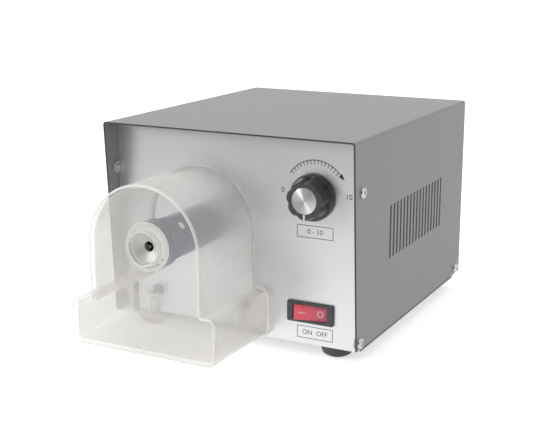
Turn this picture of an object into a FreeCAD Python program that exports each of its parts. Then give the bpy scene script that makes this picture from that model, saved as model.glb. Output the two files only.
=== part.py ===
import FreeCAD, Part
import math
import os
from FreeCAD import Vector

# Enamelled wire stripping machine, all lengths in millimetres and all angles in degrees.
# X points to the right of someone facing the front panel, Y to the back and Z up.
# The origin lies on the bench under the middle of the whole machine.

# Fits
running_gap = 0.05
seat_gap = 0.15
screw_gap = 0.10

# Sheet metal case
case_width = 176.0
case_depth = 205.4
cover_height = 129.6
cover_sheet = 1.0
cover_bend = 2.0
chassis_sheet = 1.2
chassis_drop = 2.6
chassis_flange = 10.0
corner_relief = 3.0
face_sheet = 1.0
front_recess = 14.5
front_setback = 8.2
rear_recess = 11.7

# Side vents
vent_count = 17
vent_pitch = 6.0
vent_width = 2.5
vent_height = 34.8
vent_rise = 46.4
vent_inset = 59.6

# Screws that hold the cover on the bent tabs of the chassis
tab_width = 8.0
upper_screw_rise = 98.1
lower_screw_rise = 4.4
front_screw_inset = 12.4
rear_screw_inset = 9.4
cover_screw_radius = 2.0
cover_screw_head_radius = 3.5
cover_screw_head_height = 2.0
cover_screw_length = 5.5

# Feet
foot_height = 7.4
foot_radius = 10.4
foot_tread_radius = 5.8
foot_swell_radius = 9.3
foot_swell_height = 1.9
foot_shoulder_height = 5.2
foot_side_inset = 20.0
front_foot_inset = 24.8
rear_foot_inset = 22.0
foot_well_radius = 4.2
foot_well_depth = 4.6
foot_screw_radius = 2.0
foot_screw_head_radius = 3.8
foot_screw_head_height = 2.2
foot_screw_length = 8.5
foot_nut_flats = 7.0
foot_nut_height = 3.0

# Cutter head
head_x = -23.2
head_rise = 65.9
dial_entry_gap = 2.9
dial_radius = 15.3
dial_thickness = 5.0
dial_ring_radius = 15.0
dial_ring_length = 7.5
ring_groove_width = 1.0
ring_groove_depth = 0.5
spigot_radius = 12.2
neck_radius = 12.4
neck_length = 8.0
body_radius = 13.3
body_clearance = 3.0
body_chamfer = 1.0
wire_radius = 3.1
wire_bore_radius = 3.5
wire_bore_floor = 10.0
funnel_rim_radius = 9.0
funnel_depth = 2.3
funnel_flange_radius = 9.8
funnel_recess_depth = 2.4
funnel_proud = 0.2
funnel_nose_radius = 4.3

# Blades and the scroll that moves them
blade_count = 3
blade_first_angle = 90.0
blade_width = 4.0
blade_thickness = 3.6
blade_tip_radius = 0.9
blade_tip_half_width = 0.12
blade_tip_slope = 50.0
blade_tip_lead = 0.8
blade_outer_radius = 9.6
nib_radius = 0.75
nib_height = 1.0
nib_distance = 6.9
scroll_depth = 1.2
scroll_closing = 40.0
scroll_opening = 70.0
scroll_stroke = 2.2
scroll_end_spare = 2.0

# Small screws of the cutter head
dial_lock_count = 3
dial_lock_first_angle = 150.0
dial_lock_radius = 1.5
dial_lock_nose_radius = 1.1
dial_lock_offset = 5.3
dial_lock_sink = 0.6
lock_groove_width = 2.4
lock_groove_depth = 1.2
clamp_first_angle = 45.0
clamp_count = 3
clamp_radius = 2.5
clamp_setback = 3.6
clamp_sink = 0.5
socket_share = 0.5
socket_depth = 1.2

# Spindle and motor shaft
spindle_radius = 7.0
spindle_front_lead = 0.65
spindle_back_reach = 19.0
spindle_hole_radius = 8.6
shaft_radius = 4.0
shaft_engagement = 15.0
spindle_screw_setback = 13.0
spindle_screw_radius = 2.0

# Motor, measured back from the front panel
bracket_setback = 22.0
bracket_sheet = 3.0
bracket_half_width = 36.0
bracket_top_spare = 3.5
bracket_corner = 14.0
bracket_foot_length = 42.0
bracket_gusset = 2.5
motor_radius = 31.0
can_wall = 2.2
front_bell_length = 12.0
can_length = 56.0
rear_bell_length = 27.0
bell_wall = 3.0
bell_rim = 4.0
pilot_radius = 13.0
pilot_height = 2.4
bearing_radius = 11.0
bearing_width = 7.0
bearing_inner_radius = 6.0
bearing_race_gap = 0.1
bearing_seat_wall = 1.5
bearing_hub_wall = 2.5
shaft_clearance = 1.0
shaft_tail = 1.6
magnet_thickness = 5.0
magnet_length = 46.0
magnet_half_angle = 58.0
magnet_first_angle = 90.0
magnet_count = 2
armature_radius = 22.6
armature_length = 42.0
armature_slots = 12
armature_slot_width = 2.4
armature_slot_depth = 9.0
winding_radius = 20.0
winding_length = 8.0
commutator_radius = 10.0
commutator_length = 12.0
commutator_cuts = 12
commutator_cut_width = 0.6
brush_width = 6.0
brush_height = 5.0
brush_length = 12.0
brush_holder_radius = 4.6
brush_holder_gap = 2.0
brush_cap_radius = 5.6
brush_cap_height = 2.5
brush_cap_slot = 1.2
fan_radius = 27.0
fan_hub_radius = 9.0
fan_width = 9.0
fan_gap = 2.0
fan_blades = 9
fan_blade_thickness = 1.6
fan_blade_pitch = 38.0
motor_screw_circle = 22.0
motor_screw_count = 4
motor_screw_radius = 2.0
motor_screw_head_radius = 3.5
motor_screw_head_height = 2.4
motor_screw_length = 10.0
bracket_screw_radius = 2.0
bracket_screw_head_radius = 3.6
bracket_screw_head_height = 2.2
bracket_screw_spread = 28.0
bracket_screw_near = 12.0
bracket_screw_far = 34.0

# Guard
guard_depth = 69.3
guard_arch_radius = 38.7
guard_wall = 2.4
guard_side_inset = 11.8
guard_switch_gap = 12.7
guard_foot_height = 29.6
guard_foot_drop = 0.3
guard_foot_round = 5.0
guard_edge_round = 0.8
guard_flange_width = 1.5
guard_flange_depth = 4.0
guard_entry_radius = 10.2
guard_rim_width = 1.6
guard_rim_height = 0.5
boss_spacing = 66.0
boss_rise = 17.0
boss_radius = 4.2
boss_length = 9.0
boss_rib = 1.8
boss_pilot_radius = 1.55
boss_pilot_depth = 7.5
guard_screw_radius = 1.5
guard_screw_head_radius = 3.0
guard_screw_head_height = 1.8
guard_screw_length = 9.0

# Speed control knob and potentiometer
knob_side_inset = 33.1
knob_rise = 91.7
knob_gap = 0.9
knob_height = 11.8
knob_skirt_radius = 14.6
knob_skirt_height = 2.2
knob_grip_back_radius = 13.4
knob_grip_front_radius = 12.0
knob_front_round = 1.2
knob_lobes = 7
knob_flute_radius = 3.4
knob_flute_depth = 1.3
knob_well_radius = 8.4
knob_well_depth = 3.6
knob_disc_radius = 8.1
knob_disc_thickness = 0.8
knob_disc_proud = 0.2
pointer_width = 1.2
pointer_depth = 0.5
knob_screw_radius = 1.5
knob_screw_length = 5.0
knob_screw_wall = 0.6
knob_travel = 300.0
pot_radius = 8.3
pot_depth = 9.0
pot_bushing_radius = 3.5
pot_bushing_reach = 4.2
pot_shaft_radius = 3.0
pot_shaft_reach = 10.2
pot_shaft_tail = 5.0
pot_nut_flats = 10.0
pot_nut_height = 2.2
pot_washer_radius = 6.0
pot_washer_thickness = 0.5
pot_lug_width = 2.0
pot_lug_length = 7.0
pot_lug_thickness = 0.6
pot_lug_pitch = 5.0

# Rocker switch
switch_side_inset = 33.9
switch_rise = 18.1
bezel_width = 31.6
bezel_height = 13.5
bezel_proud = 2.0
bezel_round = 1.2
switch_body_width = 28.2
switch_body_height = 11.8
switch_body_depth = 18.0
switch_well_width = 23.2
switch_well_height = 9.8
switch_well_depth = 9.0
rocker_gap = 0.1
rocker_swing = 18.0
rocker_pivot_setback = 2.0
rocker_rise = 4.2
rocker_dish = 0.8
rocker_tail = 2.4
rocker_hub_radius = 2.6
rocker_pin_radius = 1.0
rocker_pin_length = 0.6
terminal_width = 4.8
terminal_thickness = 0.8
terminal_length = 9.0
terminal_pitch = 9.0
terminal_count = 3

# Speed control board on its heat sink bracket
board_wall_gap = 3.05
board_thickness = 1.6
board_length = 78.0
board_height = 40.0
board_back_gap = 15.7
board_lift = 6.0
board_post_height = 4.0
board_post_radius = 2.6
board_screw_radius = 1.4
board_screw_head_radius = 2.6
board_screw_head_height = 1.4
board_screw_edge = 4.5
sink_sheet = 2.0
sink_foot = 18.0
sink_screw_spread = 56.0
sink_screw_radius = 1.5
sink_screw_head_radius = 2.6
capacitor_radius = 6.3
capacitor_length = 12.0
capacitor_pitch = 15.0
terminal_block_length = 25.0
terminal_block_height = 10.0
terminal_block_depth = 11.0
terminal_block_ways = 5
terminal_block_hole_radius = 1.5
choke_radius = 7.5
choke_bore_radius = 3.2
choke_thickness = 7.0
triac_width = 10.0
triac_height = 15.0
triac_thickness = 4.4

# Rear panel fittings
fuse_side_inset = 36.0
fuse_rise = 34.0
fuse_radius = 6.0
fuse_length = 30.0
fuse_flange_radius = 8.5
fuse_flange_thickness = 2.0
fuse_cap_radius = 6.4
fuse_cap_height = 6.5
fuse_cap_flutes = 12
fuse_cap_flute_radius = 0.6
fuse_cap_rim = 1.2
fuse_nut_flats = 15.0
fuse_nut_thickness = 3.0
cord_side_inset = 32.0
cord_rise = 24.0
cord_radius = 3.6
bushing_radius = 6.3
bushing_flange_radius = 9.0
bushing_outside = 7.0
bushing_inside = 8.0
bushing_flange_thickness = 2.5
bushing_lip = 0.9

# Levels and planes that follow from the sizes above
cover_bottom = foot_height + chassis_drop
cover_top = cover_bottom + cover_height
chassis_floor = foot_height + chassis_sheet
half_width = case_width / 2
inner_half_width = half_width - cover_sheet - seat_gap
board_part_depth = max(capacitor_length, terminal_block_depth, choke_thickness)
board_face_x = inner_half_width - chassis_sheet - board_wall_gap - board_part_depth
board_x = board_face_x - board_thickness
chassis_top = cover_top - cover_sheet - seat_gap
total_depth = case_depth + guard_depth + guard_rim_height - front_recess
case_rear = total_depth / 2
case_front = case_rear - case_depth
panel_y = case_front + front_recess
front_wall_y = panel_y + face_sheet
front_inner_y = front_wall_y + chassis_sheet
rear_wall_y = case_rear - rear_recess
rear_inner_y = rear_wall_y - chassis_sheet
board_back_y = rear_inner_y - board_back_gap
head_z = cover_bottom + head_rise
knob_x = half_width - knob_side_inset
knob_z = cover_bottom + knob_rise
switch_x = half_width - switch_side_inset
switch_z = cover_bottom + switch_rise
boss_z = cover_bottom + boss_rise
fuse_x = half_width - fuse_side_inset
fuse_z = cover_bottom + fuse_rise
cord_x = cord_side_inset - half_width
cord_z = cover_bottom + cord_rise
guard_foot_left = guard_side_inset - half_width
guard_foot_right = switch_x - bezel_width / 2 - guard_switch_gap
guard_foot_width = guard_foot_right - guard_foot_left
guard_foot_x = (guard_foot_left + guard_foot_right) / 2
guard_front_y = panel_y - guard_depth

# Planes of the cutter head along its axis, front to back
dial_front_y = guard_front_y + guard_wall + dial_entry_gap
dial_back_y = dial_front_y + dial_thickness
spigot_front_y = dial_back_y + running_gap
slot_floor_y = spigot_front_y + blade_thickness + 2 * running_gap
ring_back_y = dial_back_y + dial_ring_length
lock_y = dial_back_y + dial_lock_offset
neck_front_y = ring_back_y + screw_gap
neck_back_y = neck_front_y + neck_length
clamp_y = neck_back_y + clamp_setback
body_back_y = panel_y - body_clearance
scroll_rate = scroll_stroke / math.radians(scroll_closing + scroll_opening)
blade_seat_y = spigot_front_y + running_gap

# Planes of the motor along its axis, front to back
spindle_front_y = neck_back_y - spindle_front_lead
spindle_back_y = panel_y + spindle_back_reach
bracket_y = panel_y + bracket_setback
bell_y = bracket_y + bracket_sheet
can_y = bell_y + front_bell_length
rear_bell_y = can_y + can_length
motor_back_y = rear_bell_y + rear_bell_length
front_bearing_y = bell_y + bearing_seat_wall
rear_bearing_y = motor_back_y - bearing_seat_wall - bearing_width
armature_y = can_y + (can_length - armature_length) / 2
commutator_y = armature_y + armature_length + winding_length + 2 * seat_gap
brush_y = commutator_y + commutator_length / 2
fan_y = motor_back_y + fan_gap
shaft_front_y = spindle_back_y - shaft_engagement
wire_bore_end_y = shaft_front_y - wire_bore_floor
shaft_back_y = fan_y + fan_width + shaft_tail


def box(x0, x1, y0, y1, z0, z1):
    return Part.makeBox(x1 - x0, y1 - y0, z1 - z0, Vector(x0, y0, z0))


def rod_x(y, z, x0, x1, radius):
    return Part.makeCylinder(radius, x1 - x0, Vector(x0, y, z), Vector(1, 0, 0))


def rod_y(x, z, y0, y1, radius):
    return Part.makeCylinder(radius, y1 - y0, Vector(x, y0, z), Vector(0, 1, 0))


def rod_z(x, y, z0, z1, radius):
    return Part.makeCylinder(radius, z1 - z0, Vector(x, y, z0), Vector(0, 0, 1))


def head_rod(y0, y1, radius):
    return rod_y(head_x, head_z, y0, y1, radius)


def spoke(y, angle, inner, outer, radius):
    # A round bar pointing straight out from the cutter axis, at an angle from +X towards +Z.
    turn = math.radians(angle)
    out = Vector(math.cos(turn), 0, math.sin(turn))
    return Part.makeCylinder(radius, outer - inner, Vector(head_x, y, head_z) + out * inner, out)


def head_point(radius, angle, y):
    turn = math.radians(angle)
    return Vector(head_x + radius * math.cos(turn), y, head_z + radius * math.sin(turn))


def prism(centre, axis, across_flats, length):
    # A six-sided prism that starts at the centre point and runs along the axis.
    corner_radius = across_flats / math.sqrt(3)
    side = Vector(0, 0, 1) if abs(axis.z) < 0.5 else Vector(1, 0, 0)
    other = axis.cross(side)
    corners = []
    for step in range(7):
        turn = math.radians(60 * step)
        corner = side * math.cos(turn) + other * math.sin(turn)
        corners.append(centre + corner * corner_radius)
    return Part.Face(Part.makePolygon(corners)).extrude(axis * length)


def turned(points, x, z):
    # A solid turned about a line along Y through x and z, from corners given as radius and Y.
    corners = [Vector(x + radius, y, z) for radius, y in points]
    face = Part.Face(Part.makePolygon(corners + corners[:1]))
    return face.revolve(Vector(x, 0, z), Vector(0, 1, 0), 360)


def head_turned(points):
    return turned(points, head_x, head_z)


def fused(shapes):
    first = shapes[0]
    return first.fuse(shapes[1:]).removeSplitter() if len(shapes) > 1 else first


def without(shape, tools):
    return shape.cut(tools) if tools else shape


def rounded(solid, direction, radius):
    # Fillet the straight edges that run along one direction.
    picked = []
    for edge in solid.Edges:
        span = edge.lastVertex().Point - edge.firstVertex().Point
        if isinstance(edge.Curve, Part.Line) and abs(span.normalize().dot(direction)) > 0.999:
            picked.append(edge)
    return solid.makeFillet(radius, picked)


def about_head(shape, angle):
    # Turn a piece that was drawn along +X to its own angle about the cutter axis.
    turned_copy = shape.copy()
    turned_copy.rotate(Vector(head_x, 0, head_z), Vector(0, 1, 0), -angle)
    return turned_copy


def even_angles(first, count):
    return [first + 360.0 * step / count for step in range(count)]


def save(name, pieces):
    shape = pieces[0] if len(pieces) == 1 else Part.makeCompound(pieces)
    shape.exportStep(os.path.join("parts", name + ".step"))


def cover_screw_places():
    # Side of the case, Y and Z of each screw: two at the front and one at the back, on both sides.
    front_y = case_front + front_screw_inset
    places = []
    for side in (-1, 1):
        places.append((side, front_y, cover_bottom + upper_screw_rise))
        places.append((side, front_y, cover_bottom + lower_screw_rise))
        places.append((side, case_rear - rear_screw_inset, cover_bottom + lower_screw_rise))
    return places


def foot_places():
    x = half_width - foot_side_inset
    ys = (case_front + front_foot_inset, case_rear - rear_foot_inset)
    return [(sx * x, y) for sx in (-1, 1) for y in ys]


def side_rod(side, y, z, inner_x, outer_x, radius):
    # A bar along X on the left (-1) or the right (1) side, from one distance off the middle to another.
    if side > 0:
        return rod_x(y, z, inner_x, outer_x, radius)
    return rod_x(y, z, -outer_x, -inner_x, radius)


def side_box(side, inner_x, outer_x, y0, y1, z0, z1):
    if side > 0:
        return box(inner_x, outer_x, y0, y1, z0, z1)
    return box(-outer_x, -inner_x, y0, y1, z0, z1)


def bent_sheet_outline(half, low, high, bend):
    # The cover's cross-section as a face across the case: straight sides and top, with two round bends.
    corner = bend * (1 - math.sqrt(0.5))
    left_low = Vector(-half, 0, low)
    left_high = Vector(-half, 0, high - bend)
    left_bend = Vector(-half + corner, 0, high - corner)
    top_left = Vector(-half + bend, 0, high)
    top_right = Vector(half - bend, 0, high)
    right_bend = Vector(half - corner, 0, high - corner)
    right_high = Vector(half, 0, high - bend)
    right_low = Vector(half, 0, low)
    edges = [
        Part.LineSegment(left_low, left_high).toShape(),
        Part.Arc(left_high, left_bend, top_left).toShape(),
        Part.LineSegment(top_left, top_right).toShape(),
        Part.Arc(top_right, right_bend, right_high).toShape(),
        Part.LineSegment(right_high, right_low).toShape(),
        Part.LineSegment(right_low, left_low).toShape(),
    ]
    return Part.Face(Part.Wire(edges))


def vent_cutters(side):
    # One row of upright slots through a side of the cover.
    low = cover_bottom + vent_rise
    inner_x = half_width - 2 * cover_sheet
    outer_x = half_width + cover_sheet
    half = vent_width / 2
    cutters = []
    for step in range(vent_count):
        y = case_front + vent_inset + vent_pitch * step
        cutters.append(side_box(side, inner_x, outer_x, y - half, y + half, low, low + vent_height))
    return cutters


def front_slope_cutter():
    # Wedge that sets the front edges of the side walls further back the lower they come.
    low = cover_bottom - cover_sheet
    x = half_width + cover_sheet
    corners = [
        Vector(-x, case_front - cover_sheet, cover_top - cover_bend),
        Vector(-x, case_front, cover_top - cover_bend),
        Vector(-x, case_front + front_setback, low),
        Vector(-x, case_front - cover_sheet, low),
    ]
    return Part.Face(Part.makePolygon(corners + corners[:1])).extrude(Vector(2 * x, 0, 0))


def cover():
    # Top and side walls folded from one sheet, standing out past the front and rear walls of the chassis.
    outer = bent_sheet_outline(half_width, cover_bottom, cover_top, cover_bend)
    low = cover_bottom - cover_sheet
    high = cover_top - cover_sheet
    inner = bent_sheet_outline(half_width - cover_sheet, low, high, cover_bend - cover_sheet)
    shell = outer.cut(inner).extrude(Vector(0, case_depth, 0))
    shell.translate(Vector(0, case_front, 0))
    cutters = vent_cutters(-1) + vent_cutters(1) + [front_slope_cutter()]
    inner_x = half_width - 2 * cover_sheet
    outer_x = half_width + cover_sheet
    for side, y, z in cover_screw_places():
        cutters.append(side_rod(side, y, z, inner_x, outer_x, cover_screw_radius + screw_gap))
    return without(shell, cutters)


def wall_plate(y0, y1):
    # An upright plate across the case whose upper corners follow the bends of the cover.
    outline = bent_sheet_outline(inner_half_width, foot_height, chassis_top, cover_bend - cover_sheet)
    plate = outline.extrude(Vector(0, y1 - y0, 0))
    plate.translate(Vector(0, y0, 0))
    return plate


def chassis_tabs():
    # Round-nosed tabs that take the cover screws, bent from the edges of the front and rear walls.
    tabs = []
    for side, y, z in cover_screw_places():
        wall_y = front_inner_y if y < panel_y else rear_inner_y
        low = z - tab_width / 2
        inner_x = inner_half_width - chassis_sheet
        y0 = min(y, wall_y)
        y1 = max(y, wall_y)
        strip = side_box(side, inner_x, inner_half_width, y0, y1, low, low + tab_width)
        nose = side_rod(side, y, z, inner_x, inner_half_width, tab_width / 2)
        hole = side_rod(side, y, z, inner_x - chassis_sheet, half_width, cover_screw_radius + running_gap)
        tabs.append(fused([strip, nose]).cut(hole))
    return tabs


def front_wall_cutters():
    # Holes that go through both the face plate and the front wall of the chassis.
    y0 = panel_y - chassis_sheet
    y1 = front_inner_y + chassis_sheet
    switch_x0 = switch_x - switch_body_width / 2 - screw_gap
    switch_x1 = switch_x + switch_body_width / 2 + screw_gap
    switch_z0 = switch_z - switch_body_height / 2 - screw_gap
    switch_z1 = switch_z + switch_body_height / 2 + screw_gap
    cutters = [
        head_rod(y0, y1, spindle_hole_radius),
        rod_y(knob_x, knob_z, y0, y1, pot_bushing_radius + screw_gap),
        box(switch_x0, switch_x1, y0, y1, switch_z0, switch_z1),
    ]
    for x in boss_places():
        cutters.append(rod_y(x, boss_z, y0, y1, guard_screw_radius + screw_gap))
    return cutters


def boss_places():
    return [guard_foot_x - boss_spacing / 2, guard_foot_x + boss_spacing / 2]


def bracket_screw_places():
    ys = (bracket_y + bracket_screw_near, bracket_y + bracket_screw_far)
    return [(head_x + sx * bracket_screw_spread, y) for sx in (-1, 1) for y in ys]


def sink_screw_places():
    x = board_x - board_post_height - sink_foot / 2
    middle = board_back_y - board_length / 2
    return [(x, middle - sink_screw_spread / 2), (x, middle + sink_screw_spread / 2)]


def chassis():
    # A tray folded from one sheet: floor, front wall, rear wall and two low side flanges.
    floor = box(-inner_half_width, inner_half_width, front_wall_y, rear_wall_y, foot_height, chassis_floor)
    front = wall_plate(front_wall_y, front_inner_y)
    rear = wall_plate(rear_inner_y, rear_wall_y)
    flange_top = foot_height + chassis_flange
    pieces = [floor, front, rear]
    for side in (-1, 1):
        y0 = front_inner_y + corner_relief
        y1 = rear_inner_y - corner_relief
        inner_x = inner_half_width - chassis_sheet
        pieces.append(side_box(side, inner_x, inner_half_width, y0, y1, foot_height, flange_top))
    tray = fused(pieces + chassis_tabs())
    z0 = foot_height - chassis_sheet
    z1 = chassis_floor + chassis_sheet
    cutters = front_wall_cutters()
    cutters += [rod_z(x, y, z0, z1, foot_screw_radius + screw_gap) for x, y in foot_places()]
    cutters += [rod_z(x, y, z0, z1, bracket_screw_radius + screw_gap) for x, y in bracket_screw_places()]
    cutters += [rod_z(x, y, z0, z1, sink_screw_radius + screw_gap) for x, y in sink_screw_places()]
    y0 = rear_inner_y - chassis_sheet
    y1 = rear_wall_y + chassis_sheet
    cutters.append(rod_y(fuse_x, fuse_z, y0, y1, fuse_radius + screw_gap))
    cutters.append(rod_y(cord_x, cord_z, y0, y1, bushing_radius + screw_gap))
    return without(tray, cutters)


def front_panel():
    # The bright face plate, notched round the tabs that reach through it.
    plate = wall_plate(panel_y, front_wall_y)
    cutters = front_wall_cutters()
    inner_x = inner_half_width - chassis_sheet - screw_gap
    y0 = panel_y - face_sheet
    y1 = front_wall_y + face_sheet
    for side, y, z in cover_screw_places():
        if y < panel_y:
            low = z - tab_width / 2 - screw_gap
            high = z + tab_width / 2 + screw_gap
            cutters.append(side_box(side, inner_x, half_width, y0, y1, low, high))
    return without(plate, cutters)


def cover_screws():
    # Screws with low heads that narrow outwards.
    screws = []
    rim_x = half_width + cover_screw_head_height / 2
    outer_x = half_width + cover_screw_head_height
    tip_x = half_width - cover_screw_length
    crown_radius = cover_screw_head_radius - cover_screw_head_height / 2
    for side, y, z in cover_screw_places():
        head = side_rod(side, y, z, half_width, rim_x, cover_screw_head_radius)
        height = outer_x - rim_x
        start = Vector(side * rim_x, y, z)
        crown = Part.makeCone(cover_screw_head_radius, crown_radius, height, start, Vector(side, 0, 0))
        screws.append(fused([head, crown, side_rod(side, y, z, tip_x, half_width, cover_screw_radius)]))
    return screws


def rubber_feet():
    # A turned foot with a swelling side, a flat tread and a well for its screw.
    hole_radius = foot_screw_radius + screw_gap
    profile = [
        (foot_tread_radius, 0),
        (foot_swell_radius, foot_swell_height),
        (foot_radius, foot_shoulder_height),
        (foot_radius, foot_height),
        (hole_radius, foot_height),
        (hole_radius, foot_well_depth),
        (foot_well_radius, foot_well_depth),
        (foot_well_radius, 0),
    ]
    corners = [Vector(radius, 0, z) for radius, z in profile]
    face = Part.Face(Part.makePolygon(corners + corners[:1]))
    foot = face.revolve(Vector(0, 0, 0), Vector(0, 0, 1), 360)
    feet = []
    for x, y in foot_places():
        copy = foot.copy()
        copy.translate(Vector(x, y, 0))
        feet.append(copy)
    return feet


def foot_screws():
    screws = []
    for x, y in foot_places():
        seat = foot_well_depth
        head = rod_z(x, y, seat - foot_screw_head_height, seat, foot_screw_head_radius)
        screws.append(fused([head, rod_z(x, y, seat, seat + foot_screw_length, foot_screw_radius)]))
    return screws


def foot_nuts():
    nuts = []
    for x, y in foot_places():
        nut = prism(Vector(x, y, chassis_floor), Vector(0, 0, 1), foot_nut_flats, foot_nut_height)
        hole = rod_z(x, y, foot_height, chassis_floor + 2 * foot_nut_height, foot_screw_radius + running_gap)
        nuts.append(nut.cut(hole))
    return nuts


def dial_plate():
    # The bright front disc: a seat for the funnel in front and three scroll grooves behind.
    disc = head_rod(dial_front_y, dial_back_y, dial_radius)
    seat = head_rod(dial_front_y, dial_front_y + funnel_recess_depth, funnel_flange_radius + running_gap)
    hole = head_rod(dial_front_y, dial_back_y, funnel_nose_radius + running_gap)
    grooves = [scroll_groove(angle) for angle in even_angles(blade_first_angle, blade_count)]
    return without(disc, [seat, hole] + grooves)


def scroll_point(angle, offset, blade_angle):
    # The scroll's radius grows in proportion to the angle, and it meets the nib at the blade's own angle.
    radius = nib_distance + scroll_rate * math.radians(angle - blade_angle) + offset
    turn = math.radians(angle)
    return Vector(head_x + radius * math.cos(turn), 0, head_z + radius * math.sin(turn))


def scroll_side(blade_angle, offset):
    first = blade_angle - scroll_closing - scroll_end_spare
    last = blade_angle + scroll_opening + scroll_end_spare
    steps = 10
    angles = [first + (last - first) * step / steps for step in range(steps + 1)]
    points = [scroll_point(angle, offset, blade_angle) for angle in angles]
    curve = Part.BSplineCurve()
    curve.interpolate(points)
    return curve.toShape(), points[0], points[-1]


def scroll_groove(blade_angle):
    # A spiral groove of even width with round ends, cut into the back of the front disc.
    half = nib_radius + 1.6 * running_gap
    outer, outer_first, outer_last = scroll_side(blade_angle, half)
    inner, inner_first, inner_last = scroll_side(blade_angle, -half)
    ends = []
    for a, b, sign in ((outer_first, inner_first, -1), (outer_last, inner_last, 1)):
        middle = (a + b) * 0.5
        across = (a - b).normalize()
        along = Vector(-across.z, 0, across.x) * (sign * half)
        ends.append(Part.Arc(a, middle + along, b).toShape())
    wire = Part.Wire(Part.__sortEdges__([outer, ends[1], inner, ends[0]]))
    groove = Part.Face(wire).extrude(Vector(0, scroll_depth + dial_thickness, 0))
    groove.translate(Vector(0, dial_back_y - scroll_depth, 0))
    return groove


def wire_funnel():
    # A polished bush whose hollow cone leads the wire into the blades.
    front = dial_front_y - funnel_proud
    rim_back = dial_front_y + funnel_recess_depth
    throat = dial_front_y - funnel_proud + funnel_depth
    nose = dial_back_y - running_gap
    return head_turned([
        (funnel_rim_radius, front),
        (funnel_flange_radius, front),
        (funnel_flange_radius, rim_back),
        (funnel_nose_radius, rim_back),
        (funnel_nose_radius, nose),
        (wire_radius, nose),
        (wire_radius, throat),
    ])


def dial_ring():
    # The dark grip ring that carries the front disc and runs on the spigot of the cutter head.
    ring = head_rod(dial_back_y, ring_back_y, dial_ring_radius)
    cutters = [head_rod(dial_back_y, ring_back_y, spigot_radius + running_gap)]
    first = dial_back_y + ring_groove_width
    last = ring_back_y - 2 * ring_groove_width
    for y in (first, (first + last) / 2, last):
        outer = head_rod(y, y + ring_groove_width, dial_ring_radius + ring_groove_depth)
        cutters.append(outer.cut(head_rod(y, y + ring_groove_width, dial_ring_radius - ring_groove_depth)))
    hole_radius = dial_lock_radius + running_gap
    for angle in even_angles(dial_lock_first_angle, dial_lock_count):
        cutters.append(spoke(lock_y, angle, spigot_radius / 2, dial_ring_radius + hole_radius, hole_radius))
    return without(ring, cutters)


def socket(y, angle, outer_radius, across_flats):
    # A hexagon socket cut into the outer end of a grub screw.
    turn = math.radians(angle)
    out = Vector(math.cos(turn), 0, math.sin(turn))
    centre = Vector(head_x, y, head_z) + out * (outer_radius - socket_depth)
    corners = []
    for step in range(7):
        swing = math.radians(60 * step)
        side = Vector(0, 1, 0) * math.cos(swing) + Vector(-out.z, 0, out.x) * math.sin(swing)
        corners.append(centre + side * (across_flats / math.sqrt(3)))
    return Part.Face(Part.makePolygon(corners)).extrude(out * (2 * socket_depth))


def dial_lock_screws():
    screws = []
    outer = dial_ring_radius - dial_lock_sink
    inner = spigot_radius + 2 * running_gap
    tip = spigot_radius - lock_groove_depth + running_gap
    for angle in even_angles(dial_lock_first_angle, dial_lock_count):
        thread = spoke(lock_y, angle, inner, outer, dial_lock_radius)
        nose = spoke(lock_y, angle, tip, inner, dial_lock_nose_radius)
        hexagon = socket(lock_y, angle, outer, 2 * dial_lock_radius * socket_share)
        screws.append(fused([thread, nose]).cut(hexagon))
    return screws


def head_body():
    # The blued steel head: a slotted spigot in front, a neck, and a body that grips the spindle.
    groove_front = lock_y - lock_groove_width / 2
    groove_back = lock_y + lock_groove_width / 2
    groove_floor = spigot_radius - lock_groove_depth
    body = head_turned([
        (wire_bore_radius, spigot_front_y),
        (spigot_radius, spigot_front_y),
        (spigot_radius, groove_front),
        (groove_floor, groove_front),
        (groove_floor, groove_back),
        (spigot_radius, groove_back),
        (spigot_radius, neck_front_y),
        (neck_radius, neck_front_y),
        (neck_radius, neck_back_y),
        (body_radius, neck_back_y + (body_radius - neck_radius)),
        (body_radius, body_back_y - body_chamfer),
        (body_radius - body_chamfer, body_back_y),
        (spindle_radius + running_gap, body_back_y),
        (spindle_radius + running_gap, spindle_front_y),
        (wire_bore_radius, spindle_front_y),
    ])
    cutters = []
    half = blade_width / 2 + running_gap
    outer_x = head_x + 2 * spigot_radius
    slot = box(head_x, outer_x, spigot_front_y, slot_floor_y, head_z - half, head_z + half)
    for angle in even_angles(blade_first_angle, blade_count):
        cutters.append(about_head(slot, angle))
    for angle in even_angles(clamp_first_angle, clamp_count):
        cutters.append(spoke(clamp_y, angle, 0, 2 * body_radius, clamp_radius + running_gap))
    return without(body, cutters)


def head_clamp_screws():
    screws = []
    outer = body_radius - clamp_sink
    for angle in even_angles(clamp_first_angle, clamp_count):
        screw = spoke(clamp_y, angle, spindle_radius + running_gap, outer, clamp_radius)
        screws.append(screw.cut(socket(clamp_y, angle, outer, 2 * clamp_radius * socket_share)))
    return screws


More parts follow.
